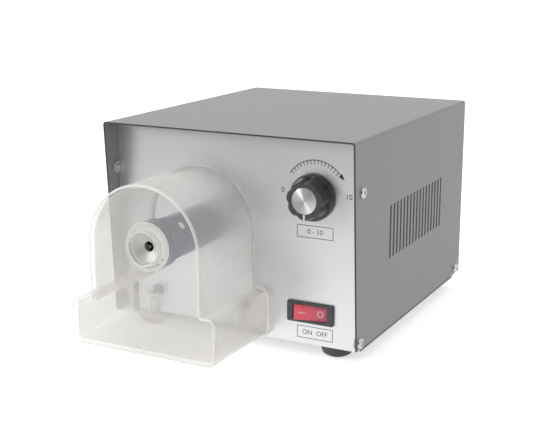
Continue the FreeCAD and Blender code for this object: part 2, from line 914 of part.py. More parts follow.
def blade(angle):
    # A hardened bar with a wedge tip that scrapes the wire and a nib that rides in the scroll.
    slope = math.tan(math.radians(blade_tip_slope))
    shoulder = blade_tip_radius + (blade_width / 2 - blade_tip_half_width) / slope
    corners = [
        (blade_tip_radius, -blade_tip_half_width),
        (shoulder, -blade_width / 2),
        (blade_outer_radius, -blade_width / 2),
        (blade_outer_radius, blade_width / 2),
        (shoulder, blade_width / 2),
        (blade_tip_radius, blade_tip_half_width),
    ]
    points = [Vector(head_x + out, blade_seat_y, head_z + side) for out, side in corners]
    bar = Part.Face(Part.makePolygon(points + points[:1])).extrude(Vector(0, blade_thickness, 0))
    lead = [
        Vector(head_x + blade_tip_radius, blade_seat_y, head_z - blade_width),
        Vector(head_x + blade_tip_radius + blade_tip_lead, blade_seat_y, head_z - blade_width),
        Vector(head_x + blade_tip_radius, blade_seat_y + blade_tip_lead, head_z - blade_width),
    ]
    wedge = Part.Face(Part.makePolygon(lead + lead[:1])).extrude(Vector(0, 0, 2 * blade_width))
    nib = rod_y(head_x + nib_distance, head_z, blade_seat_y - nib_height, blade_seat_y, nib_radius)
    return about_head(fused([bar.cut(wedge), nib]), angle)


def spindle():
    # The sleeve that joins the head to the motor shaft, with a blind bore that takes the stripped wire.
    body = head_rod(spindle_front_y, spindle_back_y, spindle_radius)
    wire_bore = head_rod(spindle_front_y, wire_bore_end_y, wire_bore_radius)
    shaft_bore = head_rod(shaft_front_y - running_gap, spindle_back_y, shaft_radius + running_gap)
    y = panel_y + spindle_screw_setback
    hole_radius = spindle_screw_radius + running_gap
    holes = [spoke(y, angle, 0, 2 * spindle_radius, hole_radius) for angle in (90, 180)]
    return without(body, [wire_bore, shaft_bore] + holes)


def spindle_screws():
    y = panel_y + spindle_screw_setback
    screws = []
    for angle in (90, 180):
        screw = spoke(y, angle, shaft_radius + running_gap, spindle_radius, spindle_screw_radius)
        screws.append(screw.cut(socket(y, angle, spindle_radius, 2 * spindle_screw_radius * socket_share)))
    return screws


def motor_shaft():
    return head_rod(shaft_front_y, shaft_back_y, shaft_radius)


def motor_bracket():
    # A folded plate with two gussets that carries the motor by its front bell.
    left = head_x - bracket_half_width
    right = head_x + bracket_half_width
    top = head_z + motor_radius + bracket_top_spare
    plate = box(left, right, bracket_y, bell_y, chassis_floor, top)
    corners = [edge for edge in plate.Edges if edge_is_top_corner(edge, top)]
    plate = plate.makeFillet(bracket_corner, corners)
    foot_back = bracket_y + bracket_foot_length
    foot = box(left, right, bracket_y, foot_back, chassis_floor, chassis_floor + bracket_sheet)
    gussets = []
    for x in (left, right - bracket_gusset):
        corners = [
            Vector(x, bell_y, chassis_floor + bracket_sheet),
            Vector(x, foot_back - bracket_sheet, chassis_floor + bracket_sheet),
            Vector(x, bell_y, head_z),
        ]
        face = Part.Face(Part.makePolygon(corners + corners[:1]))
        gussets.append(face.extrude(Vector(bracket_gusset, 0, 0)))
    body = fused([plate, foot] + gussets)
    cutters = [head_rod(bracket_y, bell_y, pilot_radius + running_gap)]
    for angle in even_angles(45, motor_screw_count):
        cutters.append(motor_screw_rod(angle, bracket_y, bell_y, motor_screw_radius + screw_gap))
    foot_top = chassis_floor + bracket_sheet
    for x, y in bracket_screw_places():
        cutters.append(rod_z(x, y, chassis_floor, foot_top, bracket_screw_radius + running_gap))
    return without(body, cutters)


def edge_is_top_corner(edge, top):
    ends = [edge.firstVertex().Point, edge.lastVertex().Point]
    return all(abs(end.z - top) < 0.01 for end in ends) and abs(ends[0].x - ends[1].x) < 0.01


def motor_screw_rod(angle, y0, y1, radius):
    turn = math.radians(angle)
    x = head_x + motor_screw_circle * math.cos(turn)
    z = head_z + motor_screw_circle * math.sin(turn)
    return rod_y(x, z, y0, y1, radius)


def bracket_screws():
    screws = []
    for x, y in bracket_screw_places():
        head = rod_z(x, y, foot_height - bracket_screw_head_height, foot_height, bracket_screw_head_radius)
        shank = rod_z(x, y, foot_height, chassis_floor + bracket_sheet, bracket_screw_radius)
        screws.append(fused([head, shank]))
    return screws


def motor_screws():
    screws = []
    for angle in even_angles(45, motor_screw_count):
        head = motor_screw_rod(angle, bracket_y - motor_screw_head_height, bracket_y, motor_screw_head_radius)
        shank = motor_screw_rod(angle, bracket_y, bracket_y + motor_screw_length, motor_screw_radius)
        screws.append(fused([head, shank]))
    return screws


def motor_front_bell():
    hub = bearing_radius + bearing_hub_wall
    bell = head_turned([
        (shaft_radius + shaft_clearance, bell_y - pilot_height),
        (pilot_radius, bell_y - pilot_height),
        (pilot_radius, bell_y),
        (motor_radius, bell_y),
        (motor_radius, can_y),
        (motor_radius - bell_rim, can_y),
        (motor_radius - bell_rim, bell_y + bell_wall),
        (hub, bell_y + bell_wall),
        (hub, front_bearing_y + bearing_width),
        (bearing_radius + running_gap, front_bearing_y + bearing_width),
        (bearing_radius + running_gap, front_bearing_y),
        (shaft_radius + shaft_clearance, front_bearing_y),
    ])
    holes = []
    for angle in even_angles(45, motor_screw_count):
        holes.append(motor_screw_rod(angle, bell_y, bell_y + bell_wall, motor_screw_radius + running_gap))
    return without(bell, holes)


def motor_can():
    hollow = head_rod(can_y, rear_bell_y, motor_radius - can_wall)
    return head_rod(can_y, rear_bell_y, motor_radius).cut(hollow)


def motor_rear_bell():
    hub = bearing_radius + bearing_hub_wall
    bell = head_turned([
        (shaft_radius + shaft_clearance, motor_back_y),
        (motor_radius, motor_back_y),
        (motor_radius, rear_bell_y),
        (motor_radius - bell_rim, rear_bell_y),
        (motor_radius - bell_rim, motor_back_y - bell_wall),
        (hub, motor_back_y - bell_wall),
        (hub, rear_bearing_y),
        (bearing_radius + running_gap, rear_bearing_y),
        (bearing_radius + running_gap, motor_back_y - bearing_seat_wall),
        (shaft_radius + shaft_clearance, motor_back_y - bearing_seat_wall),
    ])
    holes = [spoke(brush_y, angle, hub, motor_radius + 1, brush_holder_radius) for angle in (0, 180)]
    return without(bell, holes)


def bearing_set(inner, outer):
    rings = []
    for y in (front_bearing_y, rear_bearing_y):
        rings.append(head_rod(y, y + bearing_width, outer).cut(head_rod(y, y + bearing_width, inner)))
    return rings


def bearing_outer_rings():
    return bearing_set(bearing_inner_radius + bearing_race_gap, bearing_radius)


def bearing_inner_rings():
    return bearing_set(shaft_radius + running_gap / 2, bearing_inner_radius)


def motor_magnets():
    # Two arc magnets that lie against the wall of the can, above and below the armature.
    magnets = []
    outer = motor_radius - can_wall
    inner = outer - magnet_thickness
    y = can_y + (can_length - magnet_length) / 2
    for middle in even_angles(magnet_first_angle, magnet_count):
        angles = (middle - magnet_half_angle, middle, middle + magnet_half_angle)
        far = [head_point(outer, angle, y) for angle in angles]
        near = [head_point(inner, angle, y) for angle in angles]
        edges = [
            Part.Arc(far[0], far[1], far[2]).toShape(),
            Part.LineSegment(far[2], near[2]).toShape(),
            Part.Arc(near[2], near[1], near[0]).toShape(),
            Part.LineSegment(near[0], far[0]).toShape(),
        ]
        magnets.append(Part.Face(Part.Wire(edges)).extrude(Vector(0, magnet_length, 0)))
    return magnets


def armature_core():
    core = head_rod(armature_y, armature_y + armature_length, armature_radius)
    cutters = [head_rod(armature_y, armature_y + armature_length, shaft_radius + running_gap / 2)]
    half = armature_slot_width / 2
    inner_x = head_x + armature_radius - armature_slot_depth
    outer_x = head_x + armature_radius + 1
    for angle in even_angles(0, armature_slots):
        slot = box(inner_x, outer_x, armature_y, armature_y + armature_length, head_z - half, head_z + half)
        cutters.append(about_head(slot, angle))
    return without(core, cutters)


def armature_windings():
    # The two rounded bundles of copper where the coils turn round the ends of the core.
    bundles = []
    bevel = winding_length / 4
    inner = shaft_radius + running_gap / 2
    for near, far in ((armature_y, armature_y - winding_length),
                      (armature_y + armature_length, armature_y + armature_length + winding_length)):
        step = bevel if far > near else -bevel
        bundles.append(head_turned([
            (inner, near),
            (winding_radius, near),
            (winding_radius, far - step),
            (winding_radius - bevel, far),
            (inner, far),
        ]))
    return bundles


def commutator():
    y0 = commutator_y
    y1 = commutator_y + commutator_length
    body = head_rod(y0, y1, commutator_radius).cut(head_rod(y0, y1, shaft_radius + running_gap / 2))
    half = commutator_cut_width / 2
    inner_x = head_x + commutator_radius - 1
    cutters = []
    for angle in even_angles(0, commutator_cuts):
        cut = box(inner_x, inner_x + 2, y0, y1, head_z - half, head_z + half)
        cutters.append(about_head(cut, angle))
    return without(body, cutters)


def carbon_brush_box(gap):
    half_y = brush_width / 2 + gap
    half_z = brush_height / 2 + gap
    inner_x = head_x + commutator_radius + running_gap
    outer_x = inner_x + brush_length
    return box(inner_x, outer_x, brush_y - half_y, brush_y + half_y, head_z - half_z, head_z + half_z)


def carbon_brushes():
    return [about_head(carbon_brush_box(0), angle) for angle in (0, 180)]


def brush_holders():
    # Tubes through the rear bell that guide the brushes, with a cap screwed on each outer end.
    holders = []
    inner = commutator_radius + brush_holder_gap
    outer = motor_radius + brush_cap_height
    slot_x = head_x + outer - brush_cap_slot
    half = brush_cap_slot / 2
    slot = box(slot_x, head_x + 2 * outer, brush_y - half, brush_y + half, head_z - outer, head_z + outer)
    channel = carbon_brush_box(running_gap)
    for angle in (0, 180):
        tube = spoke(brush_y, angle, inner, motor_radius, brush_holder_radius - running_gap)
        cap = spoke(brush_y, angle, motor_radius, outer, brush_cap_radius)
        holders.append(without(fused([tube, cap]), [about_head(channel, angle), about_head(slot, angle)]))
    return holders


def cooling_fan():
    # A hub with pitched vanes that blows air over the motor.
    fan_back_y = fan_y + fan_width
    pieces = [head_rod(fan_y, fan_back_y, fan_hub_radius)]
    half = fan_blade_thickness / 2
    inner_x = head_x + (shaft_radius + fan_hub_radius) / 2
    outer_x = head_x + fan_radius
    vane = box(inner_x, outer_x, fan_y - fan_width, fan_back_y + fan_width, head_z - half, head_z + half)
    vane.rotate(Vector(head_x, fan_y + fan_width / 2, head_z), Vector(1, 0, 0), fan_blade_pitch)
    vane = vane.common(box(inner_x, outer_x, fan_y, fan_back_y, head_z - fan_radius, head_z + fan_radius))
    for angle in even_angles(0, fan_blades):
        pieces.append(about_head(vane, angle))
    bore = head_rod(fan_y, fan_back_y, shaft_radius + running_gap / 2)
    return fused(pieces).cut(bore)


def guard_outline_solid(inset, y0, y1):
    # The guard's outline, drawn in by an inset and run from one plane to another: a foot block under an arch.
    radius = guard_arch_radius - inset
    half = guard_foot_width / 2 - inset
    low = cover_bottom - guard_foot_drop + inset
    high = cover_bottom - guard_foot_drop + guard_foot_height - inset
    foot = box(guard_foot_x - half, guard_foot_x + half, y0, y1, low, high)
    foot = rounded(foot, Vector(0, 1, 0), guard_foot_round - inset)
    arch_wall = box(head_x - radius, head_x + radius, y0, y1, (low + high) / 2, head_z)
    return fused([foot, arch_wall, head_rod(y0, y1, radius)])


def guard_flange():
    y0 = panel_y - guard_flange_depth
    half = guard_foot_width / 2 + guard_flange_width
    low = cover_bottom - guard_foot_drop - guard_flange_width
    high = cover_bottom - guard_foot_drop + guard_foot_height + guard_flange_width
    rim = box(guard_foot_x - half, guard_foot_x + half, y0, panel_y, low, high)
    return rounded(rim, Vector(0, 1, 0), guard_foot_round + guard_flange_width)


def guard_bosses():
    # Screw bosses against the panel, each tied to the floor of the guard by a rib.
    pieces = []
    y0 = panel_y - boss_length
    floor = cover_bottom - guard_foot_drop + guard_wall / 2
    for x in boss_places():
        pieces.append(rod_y(x, boss_z, y0, panel_y, boss_radius))
        pieces.append(box(x - boss_rib / 2, x + boss_rib / 2, y0, panel_y, floor, boss_z))
    return pieces


def guard():
    outer = guard_outline_solid(0, guard_front_y, panel_y)
    front_edges = [edge for edge in outer.Edges if edge_lies_at(edge, guard_front_y)]
    outer = outer.makeFillet(guard_edge_round, front_edges)
    hollow = guard_outline_solid(guard_wall, guard_front_y + guard_wall, panel_y)
    rim_y = guard_front_y - guard_rim_height
    rim = head_rod(rim_y, guard_front_y + guard_wall, guard_entry_radius + guard_rim_width)
    shell = fused([outer, guard_flange(), rim]).cut(hollow)
    shell = fused([shell] + guard_bosses())
    cutters = [head_rod(rim_y, guard_front_y + guard_wall, guard_entry_radius)]
    for x in boss_places():
        cutters.append(rod_y(x, boss_z, panel_y - boss_pilot_depth, panel_y, boss_pilot_radius))
    return without(shell, cutters)


def edge_lies_at(edge, y):
    return all(abs(vertex.Point.y - y) < 0.001 for vertex in edge.Vertexes)


def guard_screws():
    screws = []
    head_back = front_inner_y + guard_screw_head_height
    for x in boss_places():
        head = rod_y(x, boss_z, front_inner_y, head_back, guard_screw_head_radius)
        shank = rod_y(x, boss_z, front_inner_y - guard_screw_length, front_inner_y, guard_screw_radius)
        screws.append(fused([head, shank]))
    return screws


def knob_planes():
    back = panel_y - knob_gap
    return back, back - knob_skirt_height, back - knob_height


def knob_turned(points):
    return turned(points, knob_x, knob_z)


def knob_pointer_box(depth):
    # The white line from the edge of the bright disc to the rim, pointing straight down.
    back, skirt_front, front = knob_planes()
    half = pointer_width / 2
    inner = knob_z - knob_disc_radius - running_gap
    outer = knob_z - knob_grip_front_radius + knob_front_round
    return box(knob_x - half, knob_x + half, front, front + depth, outer, inner - knob_front_round / 2)


def speed_knob():
    # A moulded knob: round skirt, grip with broad lobes that narrows forwards, and a seat for the disc.
    back, skirt_front, front = knob_planes()
    seat_back = front + knob_disc_thickness - knob_disc_proud
    well_front = back - knob_well_depth
    shaft_end = panel_y - pot_shaft_reach - running_gap
    body = knob_turned([
        (knob_well_radius, back),
        (knob_skirt_radius, back),
        (knob_skirt_radius, skirt_front),
        (knob_grip_back_radius, skirt_front),
        (knob_grip_front_radius, front + knob_front_round),
        (knob_grip_front_radius - knob_front_round, front),
        (knob_disc_radius + running_gap, front),
        (knob_disc_radius + running_gap, seat_back),
        (0, seat_back),
        (0, shaft_end),
        (pot_shaft_radius + running_gap / 2, shaft_end),
        (pot_shaft_radius + running_gap / 2, well_front),
        (knob_well_radius, well_front),
    ])
    cutters = [knob_pointer_box(pointer_depth)]
    back_radius = knob_grip_back_radius + knob_flute_radius - knob_flute_depth
    front_radius = knob_grip_front_radius + knob_flute_radius - knob_flute_depth
    for angle in even_angles(-90 + 180.0 / knob_lobes, knob_lobes):
        turn = math.radians(angle)
        out = Vector(math.cos(turn), 0, math.sin(turn))
        start = Vector(knob_x, skirt_front, knob_z) + out * back_radius
        run = Vector(0, front - skirt_front, 0) + out * (front_radius - back_radius)
        overshoot = run * (1 + 1 / knob_height)
        cutters.append(Part.makeCylinder(knob_flute_radius, overshoot.Length, start, run))
    y = knob_screw_y()
    cutters.append(rod_z(knob_x, y, knob_z - knob_skirt_radius, knob_z, knob_screw_radius + running_gap))
    return without(body, cutters)


def knob_disc():
    back, skirt_front, front = knob_planes()
    y0 = front - knob_disc_proud
    return rod_y(knob_x, knob_z, y0, y0 + knob_disc_thickness, knob_disc_radius)


def knob_screw_y():
    # The grub screw bears on the shaft just in front of the well for the nut.
    return panel_y - knob_gap - knob_well_depth - knob_screw_radius - knob_screw_wall


def knob_set_screw():
    top = knob_z - pot_shaft_radius - running_gap
    return rod_z(knob_x, knob_screw_y(), top - knob_screw_length, top, knob_screw_radius)


def potentiometer():
    body = rod_y(knob_x, knob_z, front_inner_y, front_inner_y + pot_depth, pot_radius)
    bushing = rod_y(knob_x, knob_z, panel_y - pot_bushing_reach, front_inner_y, pot_bushing_radius)
    lugs = []
    y = front_inner_y + pot_depth / 2
    for step in (-1, 0, 1):
        x = knob_x + step * pot_lug_pitch
        half = pot_lug_width / 2
        low = knob_z - pot_radius - pot_lug_length
        lugs.append(box(x - half, x + half, y, y + pot_lug_thickness, low, knob_z - pot_radius / 2))
    bore_radius = pot_shaft_radius + running_gap
    bore = rod_y(knob_x, knob_z, panel_y - pot_bushing_reach, pot_tail_y() + running_gap, bore_radius)
    return fused([body, bushing] + lugs).cut(bore)


def pot_tail_y():
    return front_inner_y + pot_shaft_tail


def potentiometer_shaft():
    return rod_y(knob_x, knob_z, panel_y - pot_shaft_reach, pot_tail_y(), pot_shaft_radius)


def potentiometer_washer():
    y0 = panel_y - pot_washer_thickness
    ring = rod_y(knob_x, knob_z, y0, panel_y, pot_washer_radius)
    return ring.cut(rod_y(knob_x, knob_z, y0, panel_y, pot_bushing_radius + running_gap))


def potentiometer_nut():
    back = panel_y - pot_washer_thickness
    nut = prism(Vector(knob_x, back, knob_z), Vector(0, -1, 0), pot_nut_flats, pot_nut_height)
    return nut.cut(rod_y(knob_x, knob_z, back - 2 * pot_nut_height, back, pot_bushing_radius + running_gap))


def switch_block(half_x, half_z, y0, y1):
    return box(switch_x - half_x, switch_x + half_x, y0, y1, switch_z - half_z, switch_z + half_z)


def rocker_pivot_y():
    return panel_y + rocker_pivot_setback


def switch_housing():
    # The black snap-in body with its bezel, open in front where the rocker sits.
    bezel = switch_block(bezel_width / 2, bezel_height / 2, panel_y - bezel_proud, panel_y)
    bezel = rounded(bezel, Vector(0, 1, 0), bezel_round)
    front_edges = [edge for edge in bezel.Edges if edge_lies_at(edge, panel_y - bezel_proud)]
    bezel = bezel.makeChamfer(bezel_proud / 4, front_edges)
    body = switch_block(switch_body_width / 2, switch_body_height / 2, panel_y, panel_y + switch_body_depth)
    well_back = panel_y + switch_well_depth
    well = switch_block(switch_well_width / 2, switch_well_height / 2, panel_y - bezel_proud, well_back)
    half = switch_well_height / 2 + rocker_pin_length
    socket_radius = rocker_pin_radius + running_gap
    sockets = rod_z(switch_x, rocker_pivot_y(), switch_z - half, switch_z + half, socket_radius)
    return without(fused([bezel, body]), [well, sockets])


def switch_rocker():
    # The rocker's end faces are parts of one cylinder about its pivot, so it clears the well as it tilts.
    pivot = rocker_pivot_y()
    half = switch_well_width / 2 - rocker_gap
    half_z = switch_well_height / 2 - rocker_gap
    face_y = pivot - rocker_rise
    corners = [
        Vector(switch_x - half, face_y, 0),
        Vector(switch_x, face_y + rocker_dish, 0),
        Vector(switch_x + half, face_y, 0),
        Vector(switch_x + half, pivot, 0),
        Vector(switch_x + rocker_hub_radius, pivot + rocker_tail, 0),
        Vector(switch_x - rocker_hub_radius, pivot + rocker_tail, 0),
        Vector(switch_x - half, pivot, 0),
    ]
    dish = Part.Arc(corners[0], corners[1], corners[2]).toShape()
    sides = [Part.LineSegment(corners[i], corners[i + 1]).toShape() for i in range(2, 6)]
    closing = Part.LineSegment(corners[6], corners[0]).toShape()
    wedge = Part.Face(Part.Wire([dish] + sides + [closing])).extrude(Vector(0, 0, 2 * half_z))
    wedge.translate(Vector(0, 0, switch_z - half_z))
    sweep = rod_z(switch_x, pivot, switch_z - half_z, switch_z + half_z, half)
    pin_half = half_z + rocker_gap + rocker_pin_length - running_gap
    pin = rod_z(switch_x, pivot, switch_z - pin_half, switch_z + pin_half, rocker_pin_radius)
    rocker = fused([wedge.common(sweep), pin])
    rocker.rotate(Vector(switch_x, pivot, switch_z), Vector(0, 0, 1), rocker_swing / 2)
    return rocker


def switch_terminals():
    blades = []
    y0 = panel_y + switch_body_depth
    half_x = terminal_thickness / 2
    low = switch_z - terminal_width / 2
    for step in range(terminal_count):
        x = switch_x + (step - (terminal_count - 1) / 2) * terminal_pitch
        blades.append(box(x - half_x, x + half_x, y0, y0 + terminal_length, low, low + terminal_width))
    return blades


def board_edges():
    z0 = chassis_floor + board_lift
    return board_back_y - board_length, board_back_y, z0, z0 + board_height


def board_corner_places():
    y0, y1, z0, z1 = board_edges()
    edge = board_screw_edge
    return [(y, z) for y in (y0 + edge, y1 - edge) for z in (z0 + edge, z1 - edge)]


def leg_right_x():
    return board_x - board_post_height


def control_board():
    y0, y1, z0, z1 = board_edges()
    plate = box(board_x, board_face_x, y0, y1, z0, z1)
    hole_radius = board_screw_radius + screw_gap
    holes = [rod_x(y, z, board_x, board_face_x, hole_radius) for y, z in board_corner_places()]
    return without(plate, holes)


def heat_sink():
    # An aluminium angle that holds the board and cools the power device.
    y0, y1, z0, z1 = board_edges()
    right = leg_right_x()
    leg = box(right - sink_sheet, right, y0, y1, chassis_floor, z1)
    foot = box(right - sink_foot, right, y0, y1, chassis_floor, chassis_floor + sink_sheet)
    holes = []
    for x, y in sink_screw_places():
        holes.append(rod_z(x, y, chassis_floor, chassis_floor + sink_sheet, sink_screw_radius + running_gap))
    for y, z in board_corner_places():
        holes.append(rod_x(y, z, right - sink_sheet, right, board_screw_radius + screw_gap))
    return without(fused([leg, foot]), holes)


def sink_screws():
    screws = []
    for x, y in sink_screw_places():
        head = rod_z(x, y, foot_height - bracket_screw_head_height, foot_height, sink_screw_head_radius)
        shank = rod_z(x, y, foot_height, chassis_floor + sink_sheet, sink_screw_radius)
        screws.append(fused([head, shank]))
    return screws


def board_posts():
    posts = []
    for y, z in board_corner_places():
        post = rod_x(y, z, leg_right_x(), board_x, board_post_radius)
        posts.append(post.cut(rod_x(y, z, leg_right_x(), board_x, board_screw_radius + running_gap)))
    return posts


def board_screws():
    screws = []
    for y, z in board_corner_places():
        head = rod_x(y, z, board_face_x, board_face_x + board_screw_head_height, board_screw_head_radius)
        shank = rod_x(y, z, leg_right_x(), board_face_x, board_screw_radius)
        screws.append(fused([head, shank]))
    return screws


def capacitors():
    y0, y1, z0, z1 = board_edges()
    top = board_face_x + capacitor_length
    z = (z0 + z1) / 2 + capacitor_radius
    first = y0 + 2 * board_screw_edge + capacitor_radius
    return [rod_x(first + capacitor_pitch * step, z, board_face_x, top, capacitor_radius) for step in (0, 1)]


def choke_coil():
    y0, y1, z0, z1 = board_edges()
    y = (y0 + y1) / 2 + choke_radius
    z = (z0 + z1) / 2 + choke_radius / 2
    ring = rod_x(y, z, board_face_x, board_face_x + choke_thickness, choke_radius)
    return ring.cut(rod_x(y, z, board_face_x, board_face_x + choke_thickness, choke_bore_radius))


def terminal_block():
    y0, y1, z0, z1 = board_edges()
    face = board_face_x + terminal_block_depth
    middle = board_face_x + terminal_block_depth / 2
    start = (y0 + y1) / 2 - terminal_block_length / 2
    block = box(board_face_x, face, start, start + terminal_block_length, z0, z0 + terminal_block_height)
    pitch = terminal_block_length / terminal_block_ways
    z = z0 + terminal_block_height / 2
    holes = []
    for way in range(terminal_block_ways):
        y = start + pitch * (way + 0.5)
        holes.append(rod_x(y, z, middle, face, terminal_block_hole_radius))
    return without(block, holes)


def power_device():
    # The device that switches the motor current, flat against the left face of the heat sink.
    y0, y1, z0, z1 = board_edges()
    right = leg_right_x() - sink_sheet
    start = (y0 + y1) / 2 - triac_width / 2
    low = (z0 + z1) / 2 - triac_height / 2
    return box(right - triac_thickness, right, start, start + triac_width, low, low + triac_height)


def fuse_holder():
    flange = rod_y(fuse_x, fuse_z, rear_wall_y, rear_wall_y + fuse_flange_thickness, fuse_flange_radius)
    body = rod_y(fuse_x, fuse_z, rear_wall_y - fuse_length, rear_wall_y, fuse_radius)
    return fused([flange, body])


def fuse_cap():
    y0 = rear_wall_y + fuse_flange_thickness
    y1 = y0 + fuse_cap_height
    cap = rod_y(fuse_x, fuse_z, y0, y1, fuse_cap_radius)
    cutters = []
    for angle in even_angles(0, fuse_cap_flutes):
        turn = math.radians(angle)
        x = fuse_x + fuse_cap_radius * math.cos(turn)
        z = fuse_z + fuse_cap_radius * math.sin(turn)
        cutters.append(rod_y(x, z, y0 + fuse_cap_rim, y1, fuse_cap_flute_radius))
    return without(cap, cutters)


def fuse_nut():
    nut = prism(Vector(fuse_x, rear_inner_y, fuse_z), Vector(0, -1, 0), fuse_nut_flats, fuse_nut_thickness)
    nut_front_y = rear_inner_y - fuse_nut_thickness
    return nut.cut(rod_y(fuse_x, fuse_z, nut_front_y, rear_inner_y, fuse_radius + running_gap))


def cord_bushing():
    # A snap-in sleeve for the mains cord: a flange outside, a lip that catches behind the wall inside.
    outside = rear_wall_y + bushing_outside
    inside = rear_inner_y - bushing_inside
    lip_back = rear_inner_y - 2 * bushing_lip
    return turned([
        (cord_radius, outside),
        (bushing_radius, outside),
        (bushing_radius, rear_wall_y + bushing_flange_thickness),
        (bushing_flange_radius, rear_wall_y + bushing_flange_thickness),
        (bushing_flange_radius, rear_wall_y),
        (bushing_radius, rear_wall_y),
        (bushing_radius, rear_inner_y - running_gap),
        (bushing_radius + bushing_lip, rear_inner_y - running_gap),
        (bushing_radius, lip_back),
        (bushing_radius - bushing_lip, inside),
        (cord_radius, inside),
    ], cord_x, cord_z)


def main():
    os.makedirs("parts", exist_ok=True)
    save("cover", [cover()])
    save("cover_screws", cover_screws())
    save("chassis", [chassis()])
    save("front_panel", [front_panel()])
    save("rubber_feet", rubber_feet())
    save("foot_screws", foot_screws())
    save("foot_nuts", foot_nuts())
    save("guard", [guard()])
    save("guard_screws", guard_screws())
    save("dial_plate", [dial_plate()])
    save("wire_funnel", [wire_funnel()])
    save("dial_ring", [dial_ring()])
    save("dial_lock_screws", dial_lock_screws())
    save("head_body", [head_body()])
    save("head_clamp_screws", head_clamp_screws())
    for number, angle in enumerate(even_angles(blade_first_angle, blade_count), start=1):
        save("blade_%d" % number, [blade(angle)])
    save("spindle", [spindle()])
    save("spindle_screws", spindle_screws())
    save("motor_shaft", [motor_shaft()])
    save("motor_bracket", [motor_bracket()])
    save("bracket_screws", bracket_screws())
    save("motor_screws", motor_screws())
    save("motor_front_bell", [motor_front_bell()])
    save("motor_can", [motor_can()])
    save("motor_rear_bell", [motor_rear_bell()])
    save("bearing_outer_rings", bearing_outer_rings())
    save("bearing_inner_rings", bearing_inner_rings())
    save("motor_magnets", motor_magnets())
    save("armature_core", [armature_core()])
    save("armature_windings", armature_windings())
    save("commutator", [commutator()])
    save("carbon_brushes", carbon_brushes())
    save("brush_holders", brush_holders())
    save("cooling_fan", [cooling_fan()])
    save("speed_knob", [speed_knob()])
    save("knob_disc", [knob_disc()])
    save("knob_pointer", [knob_pointer_box(pointer_depth)])
    save("knob_set_screw", [knob_set_screw()])
    save("potentiometer", [potentiometer()])
    save("potentiometer_shaft", [potentiometer_shaft()])
    save("potentiometer_washer", [potentiometer_washer()])
    save("potentiometer_nut", [potentiometer_nut()])
    save("switch_housing", [switch_housing()])
    save("switch_rocker", [switch_rocker()])
    save("switch_terminals", switch_terminals())
    save("control_board", [control_board()])
    save("board_posts", board_posts())
    save("board_screws", board_screws())
    save("heat_sink", [heat_sink()])
    save("sink_screws", sink_screws())
    save("capacitors", capacitors())
    save("choke_coil", [choke_coil()])
    save("terminal_block", [terminal_block()])
    save("power_device", [power_device()])
    save("fuse_holder", [fuse_holder()])
    save("fuse_cap", [fuse_cap()])
    save("fuse_nut", [fuse_nut()])
    save("cord_bushing", [cord_bushing()])


if __name__ == "__main__":
    main()
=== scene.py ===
import math
import bmesh
import bpy
import numpy as np
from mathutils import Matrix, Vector
from mathutils.geometry import tessellate_polygon


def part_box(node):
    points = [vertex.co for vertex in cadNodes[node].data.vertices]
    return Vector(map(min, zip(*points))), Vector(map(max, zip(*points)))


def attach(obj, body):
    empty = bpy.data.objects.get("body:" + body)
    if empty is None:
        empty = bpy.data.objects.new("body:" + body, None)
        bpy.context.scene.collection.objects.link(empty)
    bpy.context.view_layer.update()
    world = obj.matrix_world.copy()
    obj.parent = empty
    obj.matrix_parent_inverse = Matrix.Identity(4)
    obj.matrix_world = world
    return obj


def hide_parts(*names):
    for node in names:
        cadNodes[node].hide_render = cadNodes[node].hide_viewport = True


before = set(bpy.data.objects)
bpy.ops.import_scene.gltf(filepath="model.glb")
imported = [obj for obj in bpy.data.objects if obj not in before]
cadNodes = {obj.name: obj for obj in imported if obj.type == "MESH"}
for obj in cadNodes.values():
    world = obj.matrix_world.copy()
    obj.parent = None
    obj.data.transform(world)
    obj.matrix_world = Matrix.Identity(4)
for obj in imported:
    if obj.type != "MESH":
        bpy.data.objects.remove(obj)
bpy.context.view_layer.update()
mm = 0.001
print("frame loaded:", len(cadNodes), "nodes")


def addObject(name, data):
    added = bpy.data.objects.new(name, data)
    bpy.context.scene.collection.objects.link(added)
    return added


# Camera, at the place worked out from the straight edges and arcs of the case
cameraValues = {
    "place": (327.9, -643.15, 246.3),  # mm
    "yaw": 27.48,  # degrees, turned to the left of straight ahead
    "pitch": 13.51,  # degrees down
    "lens": 72.94,  # mm
    "sensor": 36.0,
    "clip": (0.01, 50.0),  # m
}


def makeCamera():
    v = cameraValues
    camera = addObject("camera", bpy.data.cameras.new("camera"))
    camera.location = Vector(v["place"]) * mm
    yaw, pitch = math.radians(v["yaw"]), math.radians(v["pitch"])
    level = math.cos(pitch)
    ahead = Vector((-math.sin(yaw) * level, math.cos(yaw) * level, -math.sin(pitch)))
    camera.rotation_euler = ahead.to_track_quat("-Z", "Y").to_euler()
    camera.data.lens, camera.data.sensor_width = v["lens"], v["sensor"]
    camera.data.clip_start, camera.data.clip_end = v["clip"]
    bpy.context.scene.camera = camera


makeCamera()
print("camera placed")


# Materials
def linearColour(code):
    # an sRGB hex code as the linear red, green, blue and alpha that the shaders take
    parts = [int(code[i:i + 2], 16) / 255 for i in (1, 3, 5)]
    return tuple(c / 12.92 if c <= 0.04045 else ((c + 0.055) / 1.055) ** 2.4 for c in parts) + (1.0,)


def addNode(tree, kind, settings=None, links=None):
    # one node with its settings, by socket or by property name, and its incoming links
    node = tree.nodes.new(kind)
    for key, value in (settings or {}).items():
        if isinstance(key, int) or key in node.inputs:
            node.inputs[key].default_value = value
        else:
            setattr(node, key, value)
    for key, socket in (links or {}).items():
        tree.links.new(socket, node.inputs[key])
    return node


def newMaterial(name):
    material = bpy.data.materials.new(name)
    material.use_nodes = True
    material.node_tree.nodes.clear()
    return material, material.node_tree


def objectPlace(tree):
    return addNode(tree, "ShaderNodeTexCoord").outputs["Object"]


